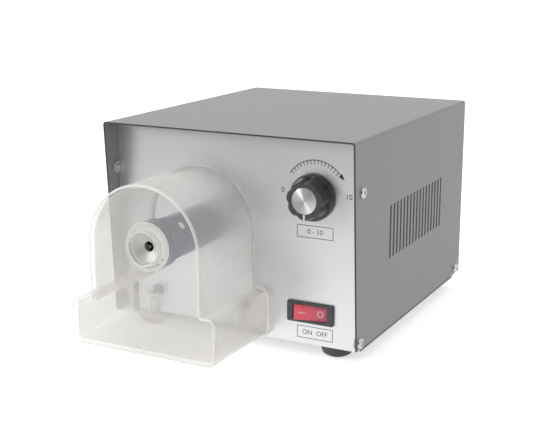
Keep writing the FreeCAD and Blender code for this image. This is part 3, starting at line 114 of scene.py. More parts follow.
def axesOf(tree, place):
    # the X, Y and Z sockets of a place
    return addNode(tree, "ShaderNodeSeparateXYZ", None, {"Vector": place}).outputs


def rayKind(tree, kind):
    # one for rays of the kind, such as Camera or Shadow, and nothing for the others
    return addNode(tree, "ShaderNodeLightPath").outputs["Is " + kind + " Ray"]


def noise(tree, place, size, detail):
    # a noise whose lumps are about the size in mm
    settings = {"Scale": 1 / (size * mm), "Detail": detail}
    return addNode(tree, "ShaderNodeTexNoise", settings, {"Vector": place}).outputs["Fac"]


def ranged(tree, value, low, high, fromLow=0.0, fromHigh=1.0):
    # the value carried from one range to another, and held at its ends
    settings = {"From Min": fromLow, "From Max": fromHigh, "To Min": low, "To Max": high}
    return addNode(tree, "ShaderNodeMapRange", settings, {"Value": value}).outputs["Result"]


def maths(tree, operation, *inputs):
    # a sum of numbers and sockets
    numbers = {i: value for i, value in enumerate(inputs) if isinstance(value, (int, float))}
    sockets = {i: value for i, value in enumerate(inputs) if i not in numbers}
    return addNode(tree, "ShaderNodeMath", {"operation": operation, **numbers}, sockets).outputs[0]


def twoColours(tree, values, share):
    first, second = (linearColour(code) for code in values["colours"])
    settings = {"data_type": "RGBA", 6: first, 7: second}
    return addNode(tree, "ShaderNodeMix", settings, {0: share}).outputs[2]


def putOut(tree, kind, settings, links=None):
    # the shader that a material ends in
    shader = addNode(tree, kind, settings, links)
    addNode(tree, "ShaderNodeOutputMaterial", None, {"Surface": shader.outputs[0]})


def finishedSurface(name, given):
    # A surface of two close colours that drift over a real distance in mm, with a fine grain in its
    # roughness and its bump. Values that don't vary go straight onto the shader.
    values = {**usualFinish, **given}
    material, tree = newMaterial(name)
    place = objectPlace(tree)
    stretch = addNode(tree, "ShaderNodeMapping", {"Scale": values["stretch"]}, {"Vector": place})
    grain = noise(tree, stretch.outputs["Vector"], values["grain"], 4.0)
    if "paintedLightAlongX" in values:
        # painted light and shade: the second colour comes in between two places along X, in mm
        start, end = values["paintedLightAlongX"]
        share = ranged(tree, axesOf(tree, place)["X"], 0.0, 1.0, start * mm, end * mm)
    else:
        share = noise(tree, place, values["drift"], 3.0)
    colour = twoColours(tree, values, share)
    if "rim" in values:
        # another colour on the front edge, painted shade on the cover's cut edge and bare metal on the
        # chassis tabs: where Y in mm plus a share of the height lies below a limit
        limit, leaning = values["rim"]
        axis = axesOf(tree, place)
        leant = maths(tree, "MULTIPLY_ADD", axis["Z"], leaning, axis["Y"])
        inFront = maths(tree, "LESS_THAN", leant, limit * mm)
        settings = {"data_type": "RGBA", 7: linearColour(values["rimColour"])}
        colour = addNode(tree, "ShaderNodeMix", settings, {0: inFront, 6: colour}).outputs[2]
    rough = ranged(tree, grain, *values["rough"], 0.3, 0.7)
    bump = addNode(tree, "ShaderNodeBump", {"Strength": 1.0, "Distance": values["depth"] * mm},
                   {"Height": grain})
    putOut(tree, "ShaderNodeBsdfPrincipled", {"Metallic": values["metallic"]},
           {"Base Color": colour, "Roughness": rough, "Normal": bump.outputs["Normal"]})
    return material


def hazySurface(name, values):
    # Clear plastic with a milky haze in it. Most light goes straight on. The haze hides more of what
    # lies behind where the wall is seen at a slant, because the way through the plastic is longer there.
    material, tree = newMaterial(name)
    cloud = noise(tree, objectPlace(tree), values["cloud"], 2.0)
    slant = addNode(tree, "ShaderNodeLayerWeight", {"Blend": 0.5}).outputs["Facing"]
    haze = ranged(tree, slant, *values["haze"])
    # the haze scatters most light forward, so its shadow is weaker than its look
    shade = maths(tree, "MULTIPLY_ADD", rayKind(tree, "Shadow"), values["shadow"] - 1, 1.0)
    drift = ranged(tree, cloud, *values["uneven"], 0.3, 0.7)
    alpha = maths(tree, "MULTIPLY", maths(tree, "MULTIPLY", haze, shade), drift)
    settings = {"Transmission Weight": values["through"], "Roughness": values["rough"], "IOR": values["ior"]}
    colour = twoColours(tree, values, cloud)
    putOut(tree, "ShaderNodeBsdfPrincipled", settings, {"Base Color": colour, "Alpha": alpha})
    return material


def spunSurface(name, values):
    # Aluminium spun on a lathe: the highlights are fans, because every scratch runs round the middle.
    # The tangent is taken round the knob's axis, which runs along Y.
    material, tree = newMaterial(name)
    grain = noise(tree, objectPlace(tree), values["grain"], 2.0)
    tangent = addNode(tree, "ShaderNodeTangent", {"direction_type": "RADIAL", "axis": "Y"})
    settings = {"Base Color": linearColour(values["colour"]), "Metallic": 1.0,
                "Anisotropic": values["anisotropic"], "Anisotropic Rotation": 0.25}
    rough = ranged(tree, grain, *values["rough"])
    putOut(tree, "ShaderNodeBsdfPrincipled", settings, {"Roughness": rough, "Tangent": tangent.outputs[0]})
    return material


# drift and grain are the sizes of their lumps and depth is the height of the bump, all in mm
usualFinish = {"drift": 4, "grain": 0.3, "depth": 0.002, "stretch": (1, 1, 1), "metallic": 0.0}
finishes = {
    # powder coat baked on sheet steel: satin with a fine orange peel, with painted shade as a dark band on
    # the front cut edge
    "bakedPowderCoat": {"colours": ("#8c8c90", "#909094"), "drift": 45, "grain": 0.9, "depth": 0.02,
        "rough": (0.4, 0.5), "rim": (-65.9, 0.0638), "rimColour": "#3f3f42"},
    # satin aluminium sheet under a clear matt lacquer: a soft blurred mirror with some haze
    "satinAnodisedAluminium": {"colours": ("#e2e2e5", "#e5e5e8"), "drift": 80, "stretch": (0.08, 1, 1),
        "depth": 0.0003, "rough": (0.33, 0.37), "metallic": 0.85},
    # bright zinc plate on folded steel: slightly blue with a crystalline drift
    "zincPlatedSheet": {"colours": ("#a9abad", "#9a9da1"), "drift": 6, "grain": 1.5, "depth": 0.003,
        "rough": (0.25, 0.42), "metallic": 1.0},
    # grey paint on folded sheet steel: flat and a little darker than the cover, with bare tabs in
    # front of the face plate
    "paintedSheet": {"colours": ("#5c5d60", "#545558"), "drift": 25, "grain": 1.2, "depth": 0.015,
        "rough": (0.5, 0.6), "rim": (-60.6, 0.0), "rimColour": "#bcbdc0"},
    # grub screws made near white as a painted highlight: the brightest spots on the blued head
    "paintedHighlightScrew": {"colours": ("#fbfaf6", "#f2f0ea"), "grain": 0.6, "rough": (0.3, 0.4),
        "metallic": 0.4},
    # zinc plated screws: brighter than the sheet
    "zincPlatedScrew": {"colours": ("#c6c6c4", "#b4b4b2"), "drift": 2, "grain": 0.5, "depth": 0.004,
        "rough": (0.2, 0.32), "metallic": 1.0},
    # blued and oiled steel: nearly black with a blue cast
    "bluedSteel": {"colours": ("#10155a", "#181e64"), "drift": 8, "grain": 0.4, "stretch": (1, 0.2, 1),
        "rough": (0.3, 0.42), "metallic": 1.0},
    # fine turned aluminium: bright with a soft gloss
    "turnedAluminium": {"colours": ("#d6d6d4", "#dbdbd9"), "drift": 5, "rough": (0.36, 0.46),
        "metallic": 1.0},
    # the same after bead blasting: matt and a little yellow
    "blastedAluminium": {"colours": ("#c9c9c3", "#cfcfc8"), "grain": 0.25, "depth": 0.006,
        "rough": (0.55, 0.65), "metallic": 1.0},
    # hardened and ground tool steel: a hard bright grey with upright grinding lines
    "groundToolSteel": {"colours": ("#9b9b9d", "#8d8d90"), "drift": 3, "grain": 0.15, "stretch": (1, 1, 0.1),
        "depth": 0.001, "rough": (0.2, 0.3), "metallic": 1.0},
    # plain turned mild steel, lightly oiled: darker and a little patchy
    "turnedMildSteel": {"colours": ("#8f8f90", "#7f7f81"), "drift": 6, "rough": (0.25, 0.4), "metallic": 1.0},
    # black moulding resin with a polished tool finish: dark with a clear gloss
    "mouldedBlackResin": {"colours": ("#3f4043", "#454649"), "drift": 10, "grain": 0.4, "rough": (0.3, 0.38)},
    # glass filled nylon with a spark eroded tool texture: dark and dull
    "erodedNylon": {"colours": ("#484b4d", "#4e5153"), "drift": 10, "grain": 0.25, "depth": 0.01,
        "rough": (0.42, 0.55)},
    # moulded rubber, matt and dusty
    "mouldedRubber": {"colours": ("#48484c", "#515155"), "drift": 5, "depth": 0.01, "rough": (0.55, 0.75)},
    # black stoving enamel on the motor can: a deep even gloss
    "stovedEnamel": {"colours": ("#1c1c1f", "#222226"), "drift": 20, "grain": 0.6, "depth": 0.004,
        "rough": (0.22, 0.3)},
    # die cast aluminium: dull with a shallow flow texture
    "dieCastAluminium": {"colours": ("#9ea0a2", "#8f9193"), "drift": 8, "grain": 0.7, "depth": 0.02,
        "rough": (0.42, 0.6), "metallic": 1.0},
    # sintered ferrite: dark and slightly grainy
    "sinteredFerrite": {"colours": ("#2b2b2d", "#353537"), "grain": 0.4, "depth": 0.01, "rough": (0.5, 0.65)},
    # enamelled copper wire seen from a distance: warm, with the turns as a fine ribbing
    "enamelledCopper": {"colours": ("#a4552e", "#8a4322"), "drift": 3, "grain": 0.5, "stretch": (1, 0.3, 1),
        "depth": 0.05, "rough": (0.25, 0.4), "metallic": 1.0},
    # pressed carbon: black and dull
    "pressedCarbon": {"colours": ("#1d1d1e", "#252526"), "drift": 2, "grain": 0.2, "depth": 0.004,
        "rough": (0.45, 0.6)},
    # tinned brass terminals: pale yellow with a soft gloss
    "tinnedBrass": {"colours": ("#c9c3ac", "#bdb59a"), "drift": 2, "rough": (0.22, 0.35), "metallic": 1.0},
    # green solder mask over glass epoxy: a glossy deep green
    "greenSolderMask": {"colours": ("#17705a", "#1d7a63"), "drift": 6, "grain": 0.5, "depth": 0.003,
        "rough": (0.25, 0.35)},
    # dipped polyester film capacitor: a glossy lacquered blue
    "dippedBlueFilm": {"colours": ("#24489a", "#2a51a8"), "grain": 0.5, "depth": 0.004, "rough": (0.2, 0.3)},
    # moulded nylon terminal block: a satin green
    "mouldedGreenNylon": {"colours": ("#2f8a5a", "#348f60"), "depth": 0.004, "rough": (0.35, 0.45)},
    # translucent red polycarbonate rocker, glossy, with painted light: a painted highlight on its left part,
    # shading darker towards the right
    "redPolycarbonate": {"colours": ("#fb5c69", "#c35c78"), "paintedLightAlongX": (44, 65), "grain": 0.4, "depth": 0.001,
        "rough": (0.16, 0.22)},
    # screen printed ink: flat and slightly rough
    "blackScreenInk": {"colours": ("#1e1e22", "#25252a"), "drift": 1, "grain": 0.15, "rough": (0.5, 0.6)},
    # paint filled into a moulded line: white and flat
    "whiteFilledPaint": {"colours": ("#e6e6e2", "#dededa"), "drift": 1, "grain": 0.15, "rough": (0.4, 0.5)},
    # the same on the red rocker, which shines through it
    "pinkLegendPaint": {"colours": ("#eab4b0", "#e6aeaa"), "drift": 1, "grain": 0.15, "rough": (0.4, 0.5)},
}
# haze runs from a wall seen straight on to one seen edge on, and shadow is the share of it that shades
hazyFinishes = {
    # moulded polycarbonate gone milky: a pale veil over what stands behind it
    "hazyPolycarbonate": {"colours": ("#f9f7f3", "#f6f3ed"), "cloud": 25, "haze": (0.09, 0.7),
        "uneven": (0.93, 1.07), "shadow": 0.1, "through": 0.15, "rough": 0.38, "ior": 1.12},
    # the same plastic, whiter and denser on its rounded edges as a painted highlight: bright lines round the
    # guard
    "paintedHighlightPolycarbonate": {"colours": ("#fffef8", "#fdfbf0"), "cloud": 12, "haze": (0.75, 0.95),
        "uneven": (0.93, 1.07), "shadow": 0.1, "through": 0.1, "rough": 0.35, "ior": 1.45},
}
spunFinish = {"colour": "#d2d2d2", "grain": 0.3, "rough": (0.3, 0.36), "anisotropic": 0.9}
materials = {name: finishedSurface(name, values) for name, values in finishes.items()}
materials |= {name: hazySurface(name, values) for name, values in hazyFinishes.items()}
materials["spunAluminium"] = spunSurface("spunAluminium", spunFinish)
print("materials made:", len(materials))

nodesOfFinish = {
    "bakedPowderCoat": "cover",
    "paintedSheet": "chassis",
    "satinAnodisedAluminium": "front_panel",
    "zincPlatedSheet": "motor_bracket potentiometer",
    "paintedHighlightScrew": "head_clamp_screws",
    "zincPlatedScrew": "cover_screws foot_screws foot_nuts guard_screws bracket_screws motor_screws "
        "potentiometer_washer potentiometer_nut board_screws sink_screws",
    "bluedSteel": "dial_ring head_body",
    "turnedAluminium": "dial_plate wire_funnel knob_disc",
    "groundToolSteel": "dial_lock_screws blade_1 blade_2 blade_3 spindle_screws knob_set_screw",
    "turnedMildSteel": "spindle motor_shaft bearing_outer_rings bearing_inner_rings armature_core "
        "potentiometer_shaft",
    "mouldedBlackResin": "brush_holders speed_knob power_device fuse_holder fuse_cap",
    "erodedNylon": "cooling_fan switch_housing fuse_nut cord_bushing",
    "mouldedRubber": "rubber_feet",
    "stovedEnamel": "motor_can",
    "dieCastAluminium": "motor_front_bell motor_rear_bell heat_sink",
    "sinteredFerrite": "motor_magnets",
    "enamelledCopper": "armature_windings commutator choke_coil",
    "pressedCarbon": "carbon_brushes",
    "tinnedBrass": "switch_terminals board_posts",
    "greenSolderMask": "control_board",
    "dippedBlueFilm": "capacitors",
    "mouldedGreenNylon": "terminal_block",
    "redPolycarbonate": "switch_rocker",
    "whiteFilledPaint": "knob_pointer",
}
for finish, nodeNames in nodesOfFinish.items():
    for nodeName in nodeNames.split():
        cadNodes[nodeName].data.materials.clear()
        cadNodes[nodeName].data.materials.append(materials[finish])
print("finishes laid on the CAD nodes")

# Shapes, in mm
shapeValues = {
    "crease": 32,  # degrees; sharper edges of a new piece stay crisp
    "softCrease": 35,  # the same for a softened CAD node
    "softFrom": 30,  # degrees between two faces whose edge is rounded
    "flat": 0.5,  # degrees between faces that count as one
    "turnedSteps": 128,
    "roundSteps": 4,
}


def ringFaces(rows, columns, closed=False):
    # quads between neighbouring rows of a grid whose columns run round in a ring
    row = np.arange(rows if closed else rows - 1)[:, None]
    column = np.arange(columns)[None, :]
    after, beside = (row + 1) % rows, (column + 1) % columns
    corners = [row * columns + column, row * columns + beside, after * columns + beside,
               after * columns + column]
    return np.stack(np.broadcast_arrays(*corners), axis=-1).reshape(-1, 4).tolist()


def barFaces(count, closed):
    # quads round a bar whose four long edges are rows of points, with end caps unless the bar closes
    i = np.arange(count if closed else count - 1)
    j = (i + 1) % count
    sides = [np.stack([a * count + i, a * count + j, b * count + j, b * count + i], axis=-1)
             for a, b in ((0, 1), (1, 2), (2, 3), (3, 0))]
    faces = np.concatenate(sides).tolist()
    if not closed:
        faces += [[row * count for row in range(4)], [row * count - 1 for row in (1, 4, 3, 2)]]
    return faces


def uprightPoints(outline, y):
    # a flat outline of (x, z) points set up at one y
    return np.column_stack([outline[:, 0], np.full(len(outline), y), outline[:, 1]])


def arcPoints(x, z, radius, start, end, steps):
    # points on a circle from one angle to another, in degrees anticlockwise from the right
    angle = np.radians(np.linspace(start, end, steps))
    return np.column_stack([x + radius * np.cos(angle), z + radius * np.sin(angle)])


def circlePoints(x, z, radius, steps):
    return arcPoints(x, z, radius, 0, 360 - 360 / steps, steps)


def closeMesh(mesh, shape, crease):
    # the edited shape back into its mesh: faces turned outwards, edges sharper than the crease kept crisp
    bmesh.ops.recalc_face_normals(shape, faces=shape.faces)
    shape.to_mesh(mesh)
    shape.free()
    mesh.shade_smooth()
    mesh.set_sharp_from_angle(angle=math.radians(crease))


def placePiece(name, mesh, body):
    piece = addObject(name, mesh)
    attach(piece, body)
    return piece


def makePiece(name, points, faces, finish, body, slot, crease=shapeValues["crease"], second=None):
    # Points in mm and faces become a piece that rides on a CAD body. Second names another finish and
    # says for each face whether it has it.
    mesh = bpy.data.meshes.new(name)
    mesh.from_pydata(np.asarray(points, dtype=float) * mm, [], faces)
    mesh.materials.append(materials[finish])
    if second:
        mesh.materials.append(materials[second[0]])
        mesh.polygons.foreach_set("material_index", np.array(second[1], dtype=np.int32))
    shape = bmesh.new()
    shape.from_mesh(mesh)
    bmesh.ops.remove_doubles(shape, verts=shape.verts, dist=1e-7)
    closeMesh(mesh, shape, crease)
    return placePiece(name, mesh, body)


def softenNode(node, name, finish, body, width):
    # A merged copy of a CAD node's mesh, its flat faces joined up and its edges rounded by a width in
    # mm, takes its place.
    v = shapeValues
    shape = bmesh.new()
    shape.from_mesh(cadNodes[node].data)
    bmesh.ops.remove_doubles(shape, verts=shape.verts, dist=2e-6)
    bmesh.ops.dissolve_limit(shape, angle_limit=math.radians(v["flat"]), verts=shape.verts, edges=shape.edges)
    limit = math.radians(v["softFrom"])
    sharp = [e for e in shape.edges if e.is_manifold and e.calc_face_angle(0) > limit]
    bmesh.ops.bevel(shape, geom=sharp, offset=width * mm, segments=2, profile=0.5, affect="EDGES",
                    clamp_overlap=True)
    mesh = bpy.data.meshes.new(name)
    closeMesh(mesh, shape, v["softCrease"])
    mesh.materials.append(materials[finish])
    piece = placePiece(name, mesh, body)
    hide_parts(node)


def joinParts(parts):
    # several (points, faces) lists as one
    points, faces, start = [], [], 0
    for partPoints, partFaces in parts:
        points.append(np.asarray(partPoints, dtype=float))
        faces += [[start + i for i in face] for face in partFaces]
        start += len(partPoints)
    return np.concatenate(points), faces


def roundedPath(corners, reach, steps=shapeValues["roundSteps"], closed=True):
    # Each corner of a path of straight runs becomes a parabola that leaves one run and meets the next
    # at the given reach from the corner, or at 0.45 of the shorter run where that is less.
    corners = [np.array(c, dtype=float) for c in corners]
    path = []
    for i, here in enumerate(corners):
        if not closed and i in (0, len(corners) - 1):
            path.append(here[None, :])
            continue
        before, after = corners[i - 1] - here, corners[(i + 1) % len(corners)] - here
        room = min(reach, 0.45 * np.linalg.norm(before), 0.45 * np.linalg.norm(after))
        start = here + before / np.linalg.norm(before) * room
        end = here + after / np.linalg.norm(after) * room
        t = np.linspace(0, 1, steps + 1)[:, None]
        path.append((1 - t) ** 2 * start + 2 * t * (1 - t) * here + t ** 2 * end)
    return np.concatenate(path)


def turnedShape(profile, x, z, steps=shapeValues["turnedSteps"], closed=False):
    # A profile of (radius, y) carried round an axis along Y: each point lies the radius times the sine
    # of the angle to the right of the axis, and the radius times the cosine above it.
    profile = np.asarray(profile, dtype=float)
    radius, y = profile[:, 0, None], profile[:, 1, None]
    angle = np.arange(steps) * 2 * np.pi / steps
    points = np.stack(np.broadcast_arrays(x + radius * np.sin(angle), y, z + radius * np.cos(angle)), axis=-1)
    return points.reshape(-1, 3), ringFaces(len(profile), steps, closed)


def slabShape(outline, yFront, yBack):
    # a flat outline of (x, z) points, run from one plane to another, with both ends filled
    outline = np.asarray(outline, dtype=float)
    count = len(outline)
    fill = tessellate_polygon([[Vector((x, z, 0)) for x, z in outline]])
    faces = ringFaces(2, count) + [list(t) for t in fill] + [[i + count for i in reversed(t)] for t in fill]
    return np.concatenate([uprightPoints(outline, y) for y in (yFront, yBack)]), faces


def lineShape(path, width, yFront, yBack, closed=False):
    # A line of even width along a path of (x, z) points. Both edges lie half a width along the path's
    # normal, and further out in a corner, by one over the cosine of half its angle.
    path = np.asarray(path, dtype=float)
    if closed:
        before, after = path - np.roll(path, 1, axis=0), np.roll(path, -1, axis=0) - path
    else:
        runs = np.diff(path, axis=0)
        before, after = np.vstack([runs[:1], runs]), np.vstack([runs, runs[-1:]])
    before, after = (run / np.linalg.norm(run, axis=1)[:, None] for run in (before, after))
    unit = (before + after) / np.linalg.norm(before + after, axis=1)[:, None]
    stretch = 1 / np.clip(np.sum(unit * after, axis=1), 0.5, 1)
    offset = np.column_stack([-unit[:, 1], unit[:, 0]]) * (width / 2 * stretch)[:, None]
    rows = [(path + offset, yFront), (path - offset, yFront), (path - offset, yBack), (path + offset, yBack)]
    return np.concatenate([uprightPoints(*row) for row in rows]), barFaces(len(path), closed)


# Places that several pieces share, read from the frame
def nodeBox(name):
    low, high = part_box(name)
    return np.array(low) / mm, np.array(high) / mm


def frontAndBack(name):
    low, high = nodeBox(name)
    return low[1], high[1]


def middle(name):
    low, high = nodeBox(name)
    return ((low + high) / 2)[[0, 2]]


panelY = frontAndBack("front_panel")[0]
headX, headZ = middle("dial_plate")
knobX, knobZ = middle("speed_knob")
switchX, switchZ = middle("switch_housing")


# Guard: one moulded shell of clear plastic with a milky haze
guardValues = {
    "archRadius": 38.7, "archSteps": 72,
    "cornerSteps": 10,
    "wall": 2.4,
    "frontRound": 0.8,  # outer edge round the front wall
    "highlightBand": 1.4,  # both sides of that edge, where the painted edge highlight lies
    "insideRound": 0.6,
    "footRound": 5.0,
    "neckRound": 1.2,  # where the arch rises out of the foot
    "neckSteps": 6,
    "footHeight": 29.6,
    "flange": 1.5, "flangeDepth": 4.0, "flangeRound": 0.4,
    "entryRadius": 10.2, "entrySteps": 72,
    "rimWidth": 1.6, "rimHeight": 0.5,
    "bossRadius": 4.2, "bossLength": 9.0, "bossRound": 0.5,
    "pilotRadius": 1.55, "pilotDepth": 7.5, "pilotTip": 0.6,
    "ribWidth": 1.8,
    "crease": 40,
}


def guardOutline(inset, flange):
    # The guard seen from the front, anticlockwise from the foot's lower left: a foot block with round
    # corners and an arch on it. Each point lies the inset inside the outer wall, and the foot's points
    # stand out by the flange.
    v = guardValues
    low, high = nodeBox("guard")
    left, right, bottom = low[0] + v["flange"], high[0] - v["flange"], low[2] + v["flange"]
    top = bottom + v["footHeight"]
    arch, foot, corner, steps = v["archRadius"] - inset, flange - inset, v["footRound"], v["cornerSteps"]
    neck = max(v["neckRound"] - foot, 0.05)
    return np.concatenate([
        arcPoints(left + corner, bottom + corner, corner + foot, 180, 270, steps),
        arcPoints(right - corner, bottom + corner, corner + foot, 270, 360, steps),
        arcPoints(right - corner, top - corner, corner + foot, 0, 90, steps),
        arcPoints(headX + arch + neck, top + foot + neck, neck, 270, 180, v["neckSteps"]),
        arcPoints(headX, headZ, arch, 0, 180, v["archSteps"]),
        arcPoints(headX - arch - neck, top + foot + neck, neck, 0, -90, v["neckSteps"]),
        arcPoints(left + corner, top - corner, corner + foot, 90, 180, steps),
    ])


def guardShell():
    # Outlines of different inset are stacked along Y: over the flange, along the wall, round the front
    # edge, and back along the inside. The entry is a ring of circles joined to both faces of the front
    # wall. Next to the faces goes a list of those that carry the painted edge highlight.
    v = guardValues
    rimFront, rear = frontAndBack("guard")
    front = rimFront + v["rimHeight"]
    inner, r, wall, flange, band = front + v["wall"], v["frontRound"], v["wall"], v["flange"], v["highlightBand"]
    flangeFront, soft, inside = rear - v["flangeDepth"], v["flangeRound"], v["insideRound"]
    # each row of the wall: inset, y and flange
    outerRows = [(0, rear, flange), (0, flangeFront + soft, flange), (0, flangeFront, flange - soft),
                 (0, flangeFront, 0), (0, front + band, 0)]
    quarter = np.linspace(0, np.pi / 2, 5)
    outerRows += [(r - r * math.cos(t), front + r - r * math.sin(t), 0) for t in quarter]
    outerRows += [(band, front, 0)]
    innerRows = [(wall + 2 * inside, inner, 0), (wall + inside, inner, 0),
                 (wall + 0.3 * inside, inner + 0.3 * inside, 0), (wall, inner + inside, 0), (wall, rear, 0)]
    points = [uprightPoints(guardOutline(inset, step), y) for inset, y, step in outerRows + innerRows]
    count, steps = len(points[0]), v["entrySteps"]
    innerStart = len(outerRows) * count
    lastStart = innerStart + (len(innerRows) - 1) * count
    entryStart = lastStart + count
    # the raised rim round the entry with its soft edges, and the way through the wall
    hole = v["entryRadius"]
    rim = hole + v["rimWidth"]
    entryRings = [(rim + 0.4, front), (rim, front), (rim, rimFront + 0.25), (rim - 0.3, rimFront),
                  (hole + 0.35, rimFront), (hole, rimFront + 0.35), (hole, rimFront + 1.0),
                  (hole, inner - 0.2), (hole + 0.2, inner), (hole + 0.8, inner)]
    points += [uprightPoints(circlePoints(headX, headZ, radius, steps), y) for radius, y in entryRings]
    points = np.concatenate(points)
    faces, lit = [], []

    def addFaces(more, start=0, strips=(False,)):
        # with the painted edge highlight or not, strip by strip
        faces.extend([i + start for i in face] for face in more)
        lit.extend(np.repeat(strips, len(more) // len(strips)).tolist())

    addFaces(ringFaces(len(outerRows), count), 0, [True] * 3 + [False] + [True] * 6)
    addFaces(ringFaces(len(innerRows), count), innerStart)
    column = np.arange(count)
    beside = (column + 1) % count
    addFaces(np.stack([column, lastStart + column, lastStart + beside, beside], axis=-1).tolist())
    addFaces(ringFaces(len(entryRings), steps), entryStart, [False] * 4 + [True] * 2 + [False] * 3)
    # both faces of the front wall, between the wall's outline and the entry
    for outline, entry in ((innerStart - count, entryStart),
                           (innerStart, entryStart + (len(entryRings) - 1) * steps)):
        loops = [[Vector((p[0], p[2], 0)) for p in points[first:first + n]]
                 for first, n in ((outline, count), (entry, steps))]
        addFaces([[outline + i if i < count else entry + i - count for i in t]
                  for t in tessellate_polygon(loops)])
    return points, faces, lit


def makeGuard():
    v = guardValues
    low, high = nodeBox("guard")
    rear, crease = high[1], v["crease"]
    points, faces, lit = guardShell()
    # the listed edge faces take the whiter plastic as a painted highlight
    second = ("paintedHighlightPolycarbonate", lit)
    shell = makePiece("guardShell", points, faces, "hazyPolycarbonate", "case", "clear_guard", crease, second)
    # two bosses with blind pilot holes, and the rib under each
    screwLow, screwHigh = nodeBox("guard_screws")
    bossZ, screwHalf = (screwLow[2] + screwHigh[2]) / 2, (screwHigh[2] - screwLow[2]) / 2
    start, deep = rear - v["bossLength"], rear - v["pilotDepth"]
    pilot, boss, half = v["pilotRadius"], v["bossRadius"], v["ribWidth"] / 2
    floor, under = low[2] + v["flange"] + v["wall"], bossZ - boss + 0.3
    profile = [(0, start), (boss - v["bossRound"], start), (boss, start + v["bossRound"]), (boss, rear),
               (pilot, rear), (pilot, deep), (0, deep + v["pilotTip"])]
    parts = []
    for x in (screwLow[0] + screwHalf, screwHigh[0] - screwHalf):
        rib = [(x - half, floor), (x + half, floor), (x + half, under), (x - half, under)]
        parts += [turnedShape(profile, x, bossZ, 40), slabShape(rib, start, rear)]
    bosses = makePiece("guardBosses", *joinParts(parts), "hazyPolycarbonate", "case", "clear_guard", crease)
    for piece in (shell, bosses):
        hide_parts("guard")


makeGuard()
print("guard made")


# Cutter head: a bright scroll dial with a funnel for the wire, and a blued ring behind it
dialValues = {
    "radius": 15.3,
    "edgeRound": 0.35,
    "seatRadius": 9.85, "seatDepth": 2.4,
    "markRadius": 12.2,  # an engraved arc with a dot at each end, and a minus and a plus beyond the dots
    "markFrom": 176, "markTo": 309,  # degrees from the right, anticlockwise
    "markWidth": 0.4, "markSteps": 60,
    "dotRadius": 0.6,
    "signTurn": 20, "signSize": 1.5,
    "engraved": (-0.02, 0.05),  # front and back of a mark from the disc's face
    "crossing": (-0.03, 0.05),  # the same for one that lies over another
    "funnelRim": 9.0, "funnelLip": 0.15, "funnelDepth": 2.3, "funnelRound": 0.3,
    "throatRadius": 3.1,
    "noseRadius": 4.3,
    "flangeRadius": 9.8,
    "steelRound": 0.4,
}


def makeDial():
    v = dialValues
    front, back = frontAndBack("dial_plate")
    seat = front + v["seatDepth"]
    # the disc as a ring with its seat for the funnel; the scroll behind it is on the hidden side
    r, bore = v["edgeRound"], v["noseRadius"] + 0.1
    profile = roundedPath([(v["seatRadius"], front), (v["radius"], front), (v["radius"], back), (bore, back),
                           (bore, seat), (v["seatRadius"], seat)], r)
    points, faces = turnedShape(profile, headX, headZ, closed=True)
    # only the face was turned bright; the rim and the back kept their bluing
    deeper = np.maximum(profile[:, 1], np.roll(profile[:, 1], -1))
    blued = np.repeat(deeper > front + r + 0.01, len(faces) // len(profile))
    second = ("bluedSteel", blued)
    disc = makePiece("dialDisc", points, faces, "turnedAluminium", "dial", "bright_aluminium", second=second)
    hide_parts("dial_plate")
    # funnel: a rim round the cone that leads the wire in
    lip, nose = frontAndBack("wire_funnel")
    throat, flange, outer = v["throatRadius"], v["flangeRadius"], v["noseRadius"]
    profile = roundedPath([(throat, nose), (throat, lip + v["funnelDepth"]),
                           (v["funnelRim"], lip + v["funnelLip"]), (flange, lip), (flange, seat),
                           (outer, seat), (outer, nose)], v["funnelRound"])
    turned = turnedShape(profile, headX, headZ, closed=True)
    funnel = makePiece("wireFunnel", *turned, "blastedAluminium", "dial", "bright_aluminium")
    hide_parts("wire_funnel")
    # engraved setting arc, filled dark, just proud of the disc
    engraved, crossing = (np.array(v[depth]) + front for depth in ("engraved", "crossing"))
    arc = arcPoints(headX, headZ, v["markRadius"], v["markFrom"], v["markTo"], v["markSteps"])
    parts = [lineShape(arc, v["markWidth"], *engraved)]
    parts += [slabShape(circlePoints(*end, v["dotRadius"], 20), *crossing) for end in arc[[0, -1]]]
    for turn, plus in ((v["markFrom"] - v["signTurn"], False), (v["markTo"] + v["signTurn"], True)):
        out = np.array([math.cos(math.radians(turn)), math.sin(math.radians(turn))])
        spot = np.array([headX, headZ]) + out * v["markRadius"]
        half = out * v["signSize"] / 2
        across = np.array([-half[1], half[0]])
        parts.append(lineShape([spot - across, spot + across], v["markWidth"], *crossing))
        if plus:
            parts.append(lineShape([spot - half, spot + half], v["markWidth"], *engraved))
    makePiece("dialMarks", *joinParts(parts), "blackScreenInk", "dial", "blued_steel")
    softenNode("head_body", "headBarrel", "bluedSteel", "head", v["steelRound"])
    softenNode("dial_ring", "dialRing", "bluedSteel", "dial", v["steelRound"])


makeDial()
print("dial made")


# Speed knob
knobValues = {
    "skirtRadius": 14.6, "skirtHeight": 2.2, "skirtRound": 0.5,
    "backRound": 0.3,
    "hollowRadius": 8.4,  # the hollow behind, which takes the nut
    "hollowDepth": 3.6,
    "gripBack": 13.4, "gripFront": 12.0,
    "gripFoot": 0.35,  # round where the grip rises out of the skirt
    "gripRound": 0.9,
    "land": 1.2,  # flat ring round the disc
    "lobes": 7,
    "fluteDepth": 1.25,
    "fluteWidth": 0.36,  # share of the turn between two lobes
    "steps": 168,
    "discRadius": 8.1, "discEdge": 0.12, "discGap": 0.05, "discSeat": 0.6,
    "pointerWidth": 1.2, "pointerEdge": 0.2, "pointerProud": 0.04,
    "crease": 40,
}


